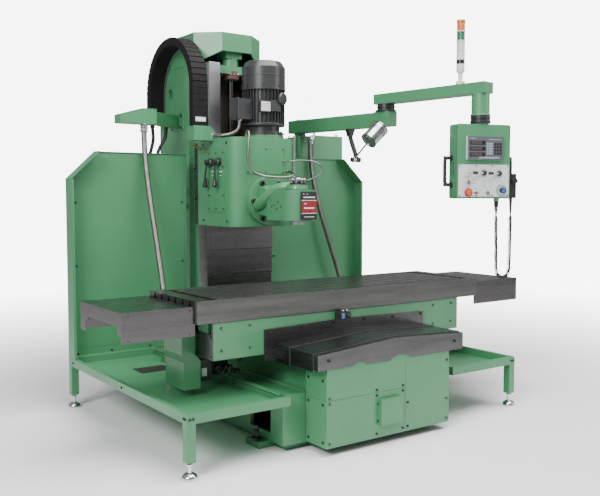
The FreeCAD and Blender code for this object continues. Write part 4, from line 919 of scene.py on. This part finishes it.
cableBoxParts()
hosePiece("blackHoseOne", [(-0.640, 0.975, 2.021), (-0.640, 0.975, 1.985), (-0.628, 0.985, 1.930),
        (-0.632, 1.000, 1.870), (-0.660, 1.006, 1.780), (-0.655, 1.010, 1.650), (-0.560, 1.016, 1.520),
        (-0.440, 1.040, 1.440), (-0.345, 1.090, 1.410), (-0.300, 1.105, 1.408)], 0.013, rubberBlack, "base",
        fittings=blackPlastic)
hosePiece("blackHoseTwo", [(-0.470, 1.098, 2.026), (-0.470, 1.098, 1.990), (-0.478, 1.095, 1.940),
        (-0.520, 1.080, 1.890), (-0.560, 1.060, 1.830), (-0.575, 1.045, 1.740), (-0.530, 1.045, 1.630),
        (-0.440, 1.065, 1.550), (-0.345, 1.105, 1.515), (-0.300, 1.120, 1.510)], 0.013, rubberBlack, "base",
        fittings=blackPlastic)

# ---- chip tray, guards, feet ----


def trayParts():
    for name, x, y in (("One", -1.291, -0.837), ("Two", 1.257, -0.837), ("Three", -1.291, 0.921),
            ("Four", 1.257, 0.921)):
        t = np.linspace(0, 1, 16)
        dome = np.stack([0.0435 * np.sqrt(1 - (t * 0.93) ** 2), 0.012 + 0.026 * t ** 1.2], 1)
        profile = np.vstack([[(0.0425, 0.0005), (0.0445, 0.003), (0.0445, 0.009)], dome,
                [(0.0125, 0.040), (0.0125, 0.044), (0.0108, 0.045), (0.0108, 0.0925)]])
        foot = lathe(profile, (x, y, 0), (0, 0, 1), 36)
        lock = bolt((x, y, 0.074), (0, 0, 1), 0.019, 0.012, False)
        addPiece("footPad" + name, [foot, lock], chrome, "base", 40)
    fasteners("trayCornerBolts", [(x, -0.8632, 0.327) for x in (-1.301, -1.281, 1.247, 1.267)], (0, -1, 0),
            "base", 0.0075, 0.005)
    fasteners("traySideBolts", [(-1.3172, y, 0.327) for y in (-0.847, -0.827, 0.0, 0.86)], (-1, 0, 0),
            "base", 0.0075, 0.005)
    # dark plate under the sump bars: painted shade of the drain hollow
    addPiece("sumpShadePlate", [chamferBox((-1.014, 0.371, 0.3041), (-0.786, 0.549, 0.3046), 0.0001)],
            hollowShadeBrown, "base", 30)
    bars = [chamferBox((-1.012, 0.375 + 0.0145 * j, 0.3045), (-0.788, 0.3815 + 0.0145 * j, 0.3058), 0.0004)
            for j in range(12)]
    bars += [chamferBox((-1.0 + 0.035 * j, 0.373, 0.3045), (-0.996 + 0.035 * j, 0.547, 0.3056), 0.0004)
            for j in range(7)]
    addPiece("sumpBars", bars, boltBlack, "base", 30)
    welds = [sweep(np.array([(-1.316, 0.80, 0.3545), (-1.316, 0.943, 0.3545)]), 0.003, 8),
            sweep(np.array([(-1.283, 0.9425, 0.3555), (-0.66, 0.9425, 0.3555)]), 0.003, 8)]
    addPiece("trayWelds", welds, machineGreen, "base", 60)


trayParts()
guardFace = 0.9428
fasteners("guardBolts", [(x, guardFace, 0.372) for x in (-0.999, -0.698, -0.42, -1.25, 0.70, 1.20)]
        + [(x, guardFace, z) for x in (-1.25, -0.42, 0.42) for z in (1.0, 1.45)], (0, -1, 0), "base", 0.008,
        0.005)
grooves("guardSeams", [((-1.3127, 0.941, 0.40), (-1.3115, 0.9435, 1.60)),
        ((-0.4005, 0.9420, 0.36), (-0.3995, 0.9432, 1.79)),
        ((-1.27, 0.9422, 0.4095), (-0.40, 0.9433, 0.411))], "base")


def guardHem():
    # folded lips on the open edges of both guards
    lips = []
    for side, outer in ((-1, -1.317), (1, 1.283)):
        inward = -side
        lips.append(chamferBox((outer + inward * 0.0045, 0.8275, 0.356), (outer + inward * 0.018, 0.8315,
                1.612), 0.001))
    addPiece("guardLips", lips, machineGreen, "base", 30)


guardHem()

# ---- bed, cover on its front, way covers ----
bedFace = -0.9892
fasteners("bedCoverBolts", [(x, bedFace, z) for x, heights in ((-0.475, (0.076, 0.308, 0.340)),
        (-0.121, (0.075, 0.308, 0.341)), (0.0895, (0.075, 0.308, 0.341)), (0.468, (0.076, 0.203, 0.452)),
        (0.131, (0.079, 0.229))) for z in heights], (0, -1, 0), "base", 0.0078, 0.005)


def bedCoverRise():
    # the front box goes on up inside the way cover
    low, high = 0.4735, 0.536
    front = chamferBox((-0.4968, -0.9889, low), (0.4898, -0.9853, high), 0.0008)
    sides = [chamferBox((x - 0.0018, -0.9889, low), (x + 0.0018, -0.845, high), 0.0008)
            for x in (-0.4950, 0.4880)]
    addPiece("bedCoverRise", [front] + sides, machineGreen, "base", 30)


bedCoverRise()
fasteners("hoodScrews", [(x, bedFace, z) for x in (-0.112, 0.068) for z in (0.150, 0.255)], (0, -1, 0),
        "base", 0.006, 0.004)
grooves("bedCoverSeams", [((-0.496, -0.9896, 0.3245), (0.1125, -0.9886, 0.3262)),
        ((0.1112, -0.9896, 0.051), (0.1129, -0.9886, 0.472)),
        ((-0.4976, -0.98, 0.3245), (-0.4966, -0.80, 0.3262))], "base")
fasteners("bedCoverSideBolts", [(-0.4972, y, z) for y in (-0.955, -0.815) for z in (0.44, 0.30, 0.08)],
        (-1, 0, 0), "base", 0.0085, 0.005)
fasteners("coverFrontBolts", [(-0.486, -0.9952, 0.562), (0.530, -0.9952, 0.568)], (0, -1, 0), "base", 0.010,
        0.006)
fasteners("wiperBolts", [(x, -0.5742, z) for x, z in ((-0.625, 0.680), (-0.375, 0.686), (-0.124, 0.693),
        (0.127, 0.693), (0.377, 0.688), (0.635, 0.684), (-0.632, 0.560), (0.645, 0.580))], (0, -1, 0),
        "saddle", 0.0095, 0.005)
fasteners("apronBolts", [(x, -0.5652, z) for x in (-0.940, -0.746, 0.761, 0.940) for z in (0.602, 0.733)],
        (0, -1, 0), "saddle", 0.0075, 0.005)


def coverHems():
    # double-folded hem on the trailing edge of each way cover, following the roof line
    for name, y, level, body in (("Rear", -0.7262, 0, "saddle"), ("Mid", -0.9552, 1, "middle_cover")):
        inset = 0.0045 * level
        left, right, eave, ridge = -0.573 + inset, 0.615 - inset, 0.606 - inset, 0.650 - inset
        low = 0.500 + 0.006 * level
        route = np.array([(left, low), (left, eave), (0.030, ridge), (right, eave + 0.017), (right, low)])
        inner = route + np.array([(0.0045, 0), (0.0045, -0.005), (0, -0.005), (-0.0045, -0.005),
                (-0.0045, 0)])
        outline = np.vstack([route, inner[::-1]])
        addPiece("coverHem" + name, [plate(outline, y - 0.0035, y + 0.0005, 1)], wiperRubber, body, 30)


coverHems()


def bedSideParts():
    # jack bolts on the bed's sides, gutter lips and the rounded front-left corner casting
    jacks = []
    for y in (-0.56, 0.36, 1.26):
        jacks.append(lathe([(0.030, 0.0), (0.030, 0.012), (0.012, 0.014), (0.012, 0.085), (0.010, 0.087),
                (0, 0.087)], (-0.70, y, 0.0401), (0, 0, 1), 20))
        jacks.append(bolt((-0.70, y, 0.085), (0, 0, 1), 0.020, 0.014, False))
    addPiece("jackBolts", jacks, boltBlack, "base")
    lips = [sweep([(x, -0.775, 0.3435), (x, 0.935, 0.3435)], 0.006, 10) for x in (-0.668, 0.668)]
    addPiece("gutterLips", lips, castGreen, "base", 60)
    t = np.linspace(0, math.pi / 2, 12)
    corner = np.stack([-0.610 - 0.0455 * np.sin(t), -0.7352 - 0.0445 * np.cos(t)], 1)
    outline = np.vstack([corner, [(-0.610, -0.7352)]])
    addPiece("bedCorner", [plate(outline, 0.05, 0.3395, 2)], castGreen, "base", 50)


bedSideParts()

# ---- saddle end, servo fittings, limit switch ----


def saddleParts():
    addPiece("saddleEndPlate", [chamferBox((-0.9965, -0.5645, 0.551), (-0.9912, -0.5500, 0.7650), 0.0006),
            chamferBox((-0.9965, -0.5505, 0.551), (-0.9912, -0.3755, 0.6985), 0.0006)], coverGrey, "saddle",
            30)
    fasteners("saddleEndScrews", [(-0.9965, y, z) for y in (-0.545, -0.395) for z in (0.57, 0.685)],
            (-1, 0, 0), "saddle", 0.007, 0.005)
    addPiece("servoLabel", [chamferBox((-0.938, -0.3212, 0.405), (-0.902, -0.3202, 0.455), 0.0003)],
            whitePaint, "saddle", 30)
    shapes = []
    for i, (x, z) in enumerate(((-0.826, 0.425), (-0.770, 0.447), (-0.720, 0.415))):
        shapes.append(lathe([(0.013, 0), (0.016, 0.002), (0.016, 0.018), (0.012, 0.020), (0.012, 0.034),
                (0.014, 0.036), (0.014, 0.050), (0.008, 0.052)], (x, -0.318, z), (0.25, -1, 0.12 * (i - 1)),
                18))
    addPiece("servoPlugs", shapes, plugSteel, "saddle")
    rings = [collar(0.0525, 0.0545, 0.007, 0.001, (x, -0.250, 0.441), (1, 0, 0), 40)
            for x in (-0.866, -0.800, -0.752)]
    addPiece("servoRings", rings, blackPlastic, "saddle")
    fasteners("servoScrews", [(x, -0.3202, z) for x in (-0.958, -0.881) for z in (0.388, 0.494)],
            (0, -1, 0), "saddle", 0.006, 0.004)
    front = -0.6295
    addPiece("switchLabel", [chamferBox((-0.103, front - 0.001, 0.722), (-0.080, front - 0.0001, 0.755),
            0.0003)], labelBlue, "saddle", 30)
    rollers = [disc(0.0075, 0.012, (x, -0.612, 0.768), (1, 0, 0), 16) for x in (-0.088, -0.058)]
    addPiece("switchRollers", rollers, chrome, "saddle")
    knob = lathe([(0, 0), (0.011, 0), (0.011, 0.008), (0.008, 0.011), (0, 0.011)], (-0.052, front, 0.738),
            (0, -1, 0), 20)
    addPiece("switchKnob", [knob], blackPlastic, "saddle")


saddleParts()
hosePiece("servoHose", [(-0.752, -0.306, 0.450), (-0.744, -0.332, 0.455), (-0.725, -0.352, 0.462),
        (-0.700, -0.356, 0.474), (-0.675, -0.345, 0.492), (-0.660, -0.325, 0.515), (-0.656, -0.310, 0.548)],
        0.0075, conduitMetal, "saddle")

# ---- table ----
slotPitch = 0.092
slotPlaces = [-0.255 + (i - 2.5) * slotPitch for i in range(6)]


def tableParts():
    # dark discs on the table's ends: painted shade inside its tapped holes
    holeShades = []
    for y in [(a + b) / 2 for a, b in zip(slotPlaces, slotPlaces[1:])]:
        holeShades += [disc(0.0068, 0.0008, (x, y, z), (way, 0, 0)) for x, way in ((-1.0979, -1), (1.2039, 1))
                for z in (0.882, 0.856)]
    addPiece("tableEndHoleShades", holeShades, seamAndShadeDark, "table_body", 30)
    lands = [slotPlaces[0] - slotPitch] + slotPlaces + [slotPlaces[-1] + slotPitch]
    strips = []
    for x in (-0.980, 1.086):
        for a, b in zip(lands, lands[1:]):
            low, high = max(a + 0.0095, -0.553), min(b - 0.0095, 0.043)
            strips.append(chamferBox((x - 0.0172, low, 0.8878), (x + 0.0172, high, 0.8893), 0.0003))
    addPiece("troughFloor", strips, rustRed, "table_body", 30)
    wings = [(x, -0.5462, z) for xs, zs in (((-1.50, -1.13), (0.715, 0.85)), ((1.25, 1.64), (0.72, 0.85)))
            for z in zs for x in xs]
    fasteners("wingScrews", wings, (0, -1, 0), "table_body", 0.0042, 0.0015)
    grooves("tableSeam", [((-1.0988, -0.547, 0.770), (-1.0972, -0.5703, 0.898))], "table_body")


tableParts()

# ---- arms, tower light, lamp ----
armLine = {"post": np.array((0.751, 1.030)), "elbow": np.array((0.892, 0.089)),
        "wrist": np.array((1.013, -0.752))}


def armParts():
    post, elbow, wrist = armLine["post"], armLine["elbow"], armLine["wrist"]
    for name, a, b, z1, body in (("One", post, elbow, 2.135, "arm_one"),
            ("Two", elbow, wrist, 2.273, "arm_two")):
        along = (b - a) / np.linalg.norm(b - a)
        across = np.array((-along[1], along[0]))
        bolts = []
        for start, sign in ((a, 1), (b, -1)):
            for step in (0.03, 0.075):
                for side in (-1, 1):
                    spot = start + along * sign * step + across * side * 0.036
                    bolts.append(bolt((*spot, z1 - 0.0003), (0, 0, 1), 0.006, 0.003))
        addPiece("armBolts" + name, bolts, boltBlack, body)
    cap = lathe([(0, 0), (0.034, 0), (0.034, 0.004), (0.030, 0.008), (0, 0.008)], (*post, 2.1348),
            (0, 0, 1), 36)
    addPiece("postCap", [cap], machineGreen, "arm_one", 40)
    hub = [collar(0.0765, 0.079, 0.010, 0.002, (*elbow, 2.1412)), collar(0.0665, 0.069, 0.020, 0.002,
            (*elbow, 2.165))]
    addPiece("jointRings", hub, blackPlastic, "arm_one")
    neck = [collar(0.0665, 0.0705, 0.017, 0.003, (*wrist, 1.994)), collar(0.0665, 0.069, 0.014, 0.002,
            (*wrist, 2.024))]
    addPiece("collarRings", neck, blackPlastic, "pendant")
    flange = ringLathe([(0.0625, 0), (0.067, 0), (0.067, 0.009), (0.064, 0.012), (0.0625, 0.012)],
            (*wrist, 2.0462), (0, 0, 1), 48)
    addPiece("neckFlange", [flange], machineGreen, "arm_two")
    foot = [bolt((post[0] + dx, post[1] + dy, 0.012), (0, 0, 1), 0.011, 0.009, False)
            for dx in (-0.08, 0.058) for dy in (-0.062, 0.08)]
    addPiece("postBolts", foot, boltBlack, "base")


armParts()


def towerLight():
    # white base tube, then clear, green and orange lenses between dark rings, and a flat cap
    spot = armLine["elbow"] + (armLine["wrist"] - armLine["elbow"]) * 0.8
    x, y = spot

    def band(name, low, high, radius, finish, ribs=0):
        t = np.linspace(0, 1, 2 + ribs * 4)
        wave = 0.0006 * np.cos(t * ribs * 2 * math.pi) if ribs else 0
        body = np.stack([radius + wave + 0 * t, low + 0.001 + t * (high - low - 0.002)], 1)
        profile = np.vstack([[(0, low), (radius - 0.0015, low)], body,
                [(radius - 0.0015, high), (0, high)]])
        return addPiece(name, [lathe(profile, (x, y, 0), (0, 0, 1), 40)], finish, "arm_two", 50)

    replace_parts(band("towerBase", 2.273, 2.300, 0.031, whitePaint), "tower_light")
    band("towerPole", 2.300, 2.372, 0.0155, whitePaint)
    shoulder = lathe([(0.0158, 0), (0.029, 0.018), (0.029, 0.02), (0.0158, 0.02)], (x, y, 2.352), (0, 0, 1),
            36)
    addPiece("towerShoulder", [shoulder], whitePaint, "arm_two", 40)
    band("towerTube", 2.372, 2.513, 0.0285, towerWhite)
    band("towerLabel", 2.418, 2.448, 0.0288, blackPlastic)
    for i, (low, high, finish) in enumerate(((2.520, 2.576, lampClear), (2.583, 2.641, lampGreen),
            (2.648, 2.706, lampOrange))):
        band("towerLens%d" % i, low, high, 0.028, finish, ribs=7)
        band("towerRing%d" % i, low - 0.007, low, 0.030, panelGrey)
    band("towerCap", 2.706, 2.724, 0.0305, lampOrange)


towerLight()


def lampParts():
    beam = np.array((-0.72, 0.1, -0.69))
    beam /= np.linalg.norm(beam)
    middle = np.array((0.742, 0.040, 1.962))
    back, lens = middle - beam * 0.075, middle + beam * 0.085
    rims = [collar(0.0622, 0.0655, 0.014, 0.002, lens - beam * 0.0145, beam),
            collar(0.0622, 0.0640, 0.007, 0.001, back + beam * 0.004, beam)]
    slats = [collar(0.0622, 0.0634, 0.004, 0.001, back + beam * (0.030 + 0.010 * i), beam)
            for i in range(4)]
    addPiece("lampRims", rims + slats, blackPlastic, "lamp")
    # the lens's dark tint is painted shade of the lamp's inside
    glass = lathe([(0, 0), (0.0555, 0), (0.0555, 0.002), (0.04, 0.004), (0, 0.0055)], lens - beam * 0.008,
            beam, 48)
    addPiece("lampLens", [glass], lensShadeGlass, "lamp", 50)
    cap = lathe([(0, 0), (0.034, 0), (0.030, 0.006), (0.012, 0.008), (0, 0.008)], back, -beam, 36)
    addPiece("lampBack", [cap], blackPlastic, "lamp", 40)
    top = np.array((0.8369, 0.4564, 1.968))
    low = np.array((0.780, 0.295, 1.778))
    step = (low - top) / np.linalg.norm(low - top)
    t = np.linspace(0, 1, 120)
    profile = np.stack([0.0165 + 0.0020 * np.cos(t * 2 * math.pi * 15), 0.012 + t * 0.20], 1)
    bellows = lathe(np.vstack([[(0.0142, 0.010)], profile, [(0.0142, 0.214)]]), top, step, 24)
    addPiece("lampBellows", [bellows], rubberBlack, "lamp_stem", 60)
    nuts = [lathe([(0, 0), (0.013, 0), (0.013, 0.006), (0.009, 0.009), (0, 0.009)], (0.804, 0.295, 1.778),
            (1, 0, 0), 6)]
    addPiece("lampNut", nuts, chrome, "lamp_stem")
    knob = lathe([(0, 0), (0.017, 0), (0.019, 0.004), (0.019, 0.012), (0.015, 0.016), (0, 0.016)],
            (0.736, 0.295, 1.778), (-1, 0, 0), 24)
    addPiece("lampKnob", [knob], blackPlastic, "lamp", 40)


lampParts()

# ---- pendant: modelled square to its own axes ----
panelFront = -0.055


def pendantPiece(name, shapes, finish, body="pendant", smooth=35):
    return addPiece(name, [onPendantShape(shape) for shape in shapes], finish, body, smooth)


def readout():
    front = panelFront - 0.022
    pendantPiece("readoutFace",
            [chamferBox((-0.1385, front - 0.0030, 1.7415), (0.1385, front - 0.0002, 1.9025), 0.0012)],
            readoutGrey)
    screens, lines = [], []
    for i in range(3):
        z = 1.857 - 0.040 * i
        screens.append(chamferBox((-0.124, front - 0.0042, z - 0.014), (-0.004, front - 0.0028, z + 0.014),
                0.0004))
        lines.append(chamferBox((-0.118, front - 0.0048, z - 0.008), (-0.030, front - 0.0040, z + 0.009),
                0.0003))
    pendantPiece("readoutScreens", screens, screenBlack)
    pendantPiece("readoutDigits", lines, screenDim)
    keys = [chamferBox((0.006 + 0.0165 * i, front - 0.0055, 1.845 - 0.0165 * j),
            (0.0185 + 0.0165 * i, front - 0.0028, 1.857 - 0.0165 * j), 0.0008) for i in range(3)
            for j in range(5)]
    pendantPiece("readoutKeysPale", keys, keyPale)
    dark = [chamferBox((0.064 + 0.0215 * i, front - 0.0058, 1.842 - 0.0215 * j),
            (0.080 + 0.0215 * i, front - 0.0028, 1.858 - 0.0215 * j), 0.0008) for i in range(3)
            for j in range(4)]
    pendantPiece("readoutKeysDark", dark, blackPlastic)
    low = [chamferBox((-0.050 + 0.0175 * i, front - 0.0052, 1.750), (-0.037 + 0.0175 * i, front - 0.0028,
            1.762), 0.0006) for i in range(9)]
    pendantPiece("readoutKeysLow", low, keyPale)
    strip = [chamferBox((-0.124, front - 0.0038, 1.884), (-0.075, front - 0.0028, 1.888), 0.0002),
            chamferBox((0.02, front - 0.0038, 1.878), (0.12, front - 0.0028, 1.882), 0.0002)]
    pendantPiece("readoutStripes", strip, keyPale)


readout()


def panelParts():
    front = panelFront - 0.004
    screws = [bolt((x, front, z), (0, -1, 0), 0.0048, 0.003) for x in (-0.186, -0.06, 0.065, 0.186)
            for z in (1.498, 1.702)]
    pendantPiece("panelScrews", screws, boltBlack)

    def knobShape(x, z, base, reach):
        # turned knob with a flat pointer ridge across its face
        body = lathe([(0, 0), (base, 0), (base, reach * 0.35), (base * 0.8, reach * 0.42),
                (base * 0.76, reach * 0.93), (base * 0.7, reach), (0, reach)], (x, front, z), (0, -1, 0),
                28)
        ridge = chamferBox((x - base * 0.16, front - reach - 0.004, z - base * 0.72),
                (x + base * 0.16, front - reach + 0.001, z + base * 0.72), 0.0012)
        return [body, ridge]

    pendantPiece("panelLampYellow",
            [lathe([(0, 0), (0.0095, 0), (0.0095, 0.004), (0.006, 0.0075), (0, 0.0085)],
            (-0.125, front - 0.018, 1.655), (0, -1, 0), 28)], lampAmber, smooth=60)
    bezels = []
    for x, z, radius in ((-0.125, 1.655, 0.0175), (-0.127, 1.589, 0.0155), (0.023, 1.516, 0.0155),
            (-0.130, 1.519, 0.020), (-0.061, 1.516, 0.0125), (0.138, 1.533, 0.0225)):
        bezels.append(ringLathe([(radius - 0.005, 0), (radius + 0.002, 0), (radius + 0.002, 0.002),
                (radius - 0.001, 0.004), (radius - 0.005, 0.004)], (x, front + 0.0002, z), (0, -1, 0), 32))
    pendantPiece("panelBezels", bezels, chrome)
    caps = []
    for x, z in ((-0.127, 1.589), (0.023, 1.516)):
        caps.append(lathe([(0, 0), (0.0148, 0), (0.0148, 0.003), (0.0125, 0.006), (0, 0.006)],
                (x, front - 0.016, z), (0, -1, 0), 28))
        caps.append(chamferBox((x - 0.003, front - 0.0275, z - 0.0125),
                (x + 0.003, front - 0.0215, z + 0.0125), 0.001))
    pendantPiece("panelSelectors", caps, selectorGrey)
    dial = [ringLathe([(0.027, 0), (0.0415, 0), (0.0415, 0.0008), (0.027, 0.0008)], (0.138, front, 1.533),
            (0, -1, 0), 48)]
    pendantPiece("dialRing", dial, keyPale)
    ticks = [chamferBox((0.138 - 0.0006, front - 0.0013, 1.533 + 0.031), (0.138 + 0.0006, front - 0.0007,
            1.533 + 0.039), 0.0002, turnAbout(a, (0, 1, 0)), (0.138, front, 1.533))
            for a in np.arange(-135, 136, 22.5)]
    marks = ticks + [chamferBox((x0, front - 0.0006, z0), (x1, front - 0.0001, z1), 0.0001) for x0, z0, x1,
            z1 in ((0.002, 1.558, 0.064, 1.5592), (0.002, 1.600, 0.064, 1.6012),
            (0.002, 1.558, 0.0032, 1.6012), (0.0628, 1.558, 0.064, 1.6012), (-0.095, 1.580, -0.050, 1.5812),
            (-0.095, 1.606, -0.050, 1.6072), (-0.14, 1.675, -0.11, 1.6765),
            (-0.150, 1.622, -0.105, 1.6235))]
    for x, z in ((-0.002, 1.653), (0.117, 1.650)):
        marks += [ringLathe([(0.024, 0), (0.0252, 0), (0.0252, 0.0006), (0.024, 0.0006)], (x, front, z),
                (0, -1, 0), 40)]
        marks += [chamferBox((x - 0.001, front - 0.0006, z + s * 0.032 - 0.005),
                (x + 0.001, front - 0.0001, z + s * 0.032 + 0.005), 0.0002) for s in (-1, 1)]
    pendantPiece("panelLines", marks, seamAndShadeDark)
    pendantPiece("panelRedDot", [disc(0.004, 0.001, (-0.061, front, 1.548), (0, -1, 0))], redPaint)
    mushroom = lathe([(0.0, 0.0), (0.0275, 0.0), (0.029, 0.003), (0.029, 0.008), (0.025, 0.0135),
            (0.014, 0.0175), (0, 0.0185)], (-0.130, front - 0.0145, 1.519), (0, -1, 0), 40)
    pendantPiece("stopCap", [mushroom], orangeRed, "stop", 60)
    pendantPiece("startCap", [lathe([(0, 0), (0.0098, 0), (0.0098, 0.009), (0.008, 0.0115), (0, 0.012)],
            (-0.061, front - 0.008, 1.516), (0, -1, 0), 28)], dullRed, "start", 50)
    pendantPiece("feedCap", knobShape(0.138, 1.533, 0.0208, 0.0305), knobBlue, "knob")
    for name, x, z, body in (("Left", -0.002, 1.653, "stick_left"), ("Right", 0.117, 1.650, "stick_right")):
        hub = lathe([(0, 0), (0.0185, 0), (0.0185, 0.006), (0.0165, 0.012), (0.012, 0.0155), (0, 0.0165)],
                (x, front - 0.0015, z), (0, -1, 0), 32)
        pendantPiece("stickHub" + name, [hub], blackPlastic, body, 50)
        start, end = np.array((x - 0.012, panelFront - 0.0168, z)), np.array((x - 0.066,
                panelFront - 0.0295, z))
        pendantPiece("stickRod" + name, [sweep(np.linspace(start, end, 6), 0.0056, 14)], chrome, body, 60)
        step = end - start
        t = np.linspace(0, 1, 14)
        grip = np.stack([0.0098 + 0.0022 * np.sin(t * math.pi), t * 0.030], 1)
        profile = np.vstack([[(0, 0)], grip, [(0.006, 0.0325), (0, 0.0335)]])
        pendantPiece("stickGrip" + name, [lathe(profile, end, step, 24)], blackPlastic, body, 60)


panelParts()


gripEnds = {"low": 1.572, "high": 1.756, "depth": 0.022, "bend": 0.022, "in": 0.2052, "out": 0.257}


def gripBars():
    # bent round handles on both sides of the pendant box, with flanges
    z0, z1, y, bend = gripEnds["low"], gripEnds["high"], gripEnds["depth"], gripEnds["bend"]
    for name, side in (("Left", -1), ("Right", 1)):
        x0, x1 = side * gripEnds["in"], side * gripEnds["out"]
        a = np.linspace(0, math.pi / 2, 10)
        low = np.stack([x1 - side * bend + side * bend * np.sin(a), 0 * a + y,
                z0 + bend - bend * np.cos(a)], 1)
        high = low[::-1].copy()
        high[:, 2] = z1 - (high[:, 2] - z0)
        line = np.vstack([[(x0, y, z0)], low, [(x1, y, z) for z in (1.62, 1.66, 1.70)], high,
                [(x0, y, z1)]])
        pendantPiece("gripBar" + name, [sweep(line, 0.0125, 20)], blackPlastic, "pendant", 60)
        flanges = [lathe([(0, 0), (0.021, 0), (0.021, 0.004), (0.016, 0.008), (0, 0.008)],
                (side * 0.205, y, z), (side, 0, 0), 28) for z in (z0, z1)]
        pendantPiece("gripFlange" + name, flanges, blackPlastic, "pendant", 40)
    hinges = [chamferBox((-0.2085, -0.030, z), (-0.2052, 0.012, z + 0.035), 0.001) for z in (1.64, 1.69)]
    pendantPiece("boxLatches", hinges, chrome)
    seam = [chamferBox((x - 0.00035, -0.046, 1.49), (x + 0.00035, -0.0448, 1.972), 0.0002)
            for x in (-0.20525, 0.20525)]
    pendantPiece("boxSeam", seam, seamAndShadeDark)
    relief = lathe([(0.0165, 0), (0.019, 0.002), (0.019, 0.016), (0.0165, 0.018)], (0.135, 0, 1.460),
            (0, 0, 1), 28)
    clip = lathe([(0.0125, 0), (0.0145, 0.001), (0.0145, 0.010), (0.0125, 0.012)], (0.135, 0, 1.405),
            (0, 0, 1), 24)
    pendantPiece("reliefRings", [relief, clip], chrome)


gripBars()
print("details ready")

# ---- floor and light ----
stageSettings = {"floorShade": 0.94, "skyShade": 1.0, "sky": 0.33, "backdrop": 7.0, "fadeFrom": 1.9,
        "fadeTo": 9.0}


def buildStage():
    floor = bpy.data.meshes.new("floor")
    floor.from_pydata([(-30, -20, 0), (30, -20, 0), (30, 40, 0), (-30, 40, 0)], [], [(0, 1, 2, 3)])
    piece = bpy.data.objects.new("floor", floor)
    bpy.context.scene.collection.objects.link(piece)
    material, tree, shader, place = finishOf("floorPaint")
    shade = stageSettings["floorShade"]
    mask = maskNode(tree, place, speckle, Patch=0.6)
    tree.links.new(mixColour(tree, mask.outputs["Patches"], (shade * 0.98, shade * 0.98, shade * 0.98, 1),
            (shade, shade, shade, 1)), shader.inputs["Base Color"])
    shader.inputs["Roughness"].default_value = 0.6
    # the far floor fades into the backdrop where the camera sees it
    far = addNode(tree, "ShaderNodeVectorMath", operation="LENGTH")
    tree.links.new(place, far.inputs[0])
    seen = addNode(tree, "ShaderNodeLightPath")
    fade = addNode(tree, "ShaderNodeMapRange", interpolation_type="SMOOTHSTEP")
    tree.links.new(far.outputs["Value"], fade.inputs["Value"])
    fade.inputs["From Min"].default_value = stageSettings["fadeFrom"]
    fade.inputs["From Max"].default_value = stageSettings["fadeTo"]
    glow = addNode(tree, "ShaderNodeMath", operation="MULTIPLY")
    tree.links.new(fade.outputs["Result"], glow.inputs[0])
    tree.links.new(seen.outputs["Is Camera Ray"], glow.inputs[1])
    tree.links.new(spread(tree, glow.outputs["Value"], 0.0, stageSettings["backdrop"]),
            shader.inputs["Emission Strength"])
    shader.inputs["Emission Color"].default_value = (1, 1, 1, 1)
    floor.materials.append(material)
    world = bpy.data.worlds.new("studio")
    bpy.context.scene.world = world
    world.use_nodes = True
    back = world.node_tree.nodes["Background"]
    back.inputs["Color"].default_value = (stageSettings["skyShade"],) * 3 + (1,)
    tree = world.node_tree
    seen = addNode(tree, "ShaderNodeLightPath")
    tree.links.new(spread(tree, seen.outputs["Is Camera Ray"], stageSettings["sky"],
            stageSettings["backdrop"]), back.inputs["Strength"])


def areaLight(name, place, aim, size, power, colour=(1, 1, 1)):
    light = bpy.data.lights.new(name, "AREA")
    light.shape = "RECTANGLE"
    light.size, light.size_y = size
    light.energy = power
    light.color = colour
    holder = bpy.data.objects.new(name, light)
    holder.location = place
    holder.rotation_euler = (Vector(aim) - Vector(place)).to_track_quat("-Z", "Y").to_euler()
    bpy.context.scene.collection.objects.link(holder)


buildStage()
areaLight("keyLight", (-6.8, -3.6, 5.2), (0, 0, 1.1), (3.5, 2.5), 620)
areaLight("topLight", (0.5, -1.5, 6.0), (0.2, 0, 0.8), (6.0, 5.0), 720)
areaLight("sideLight", (5.5, -5.0, 3.5), (0.2, 0, 1.0), (3.0, 3.0), 80)
print("stage ready")
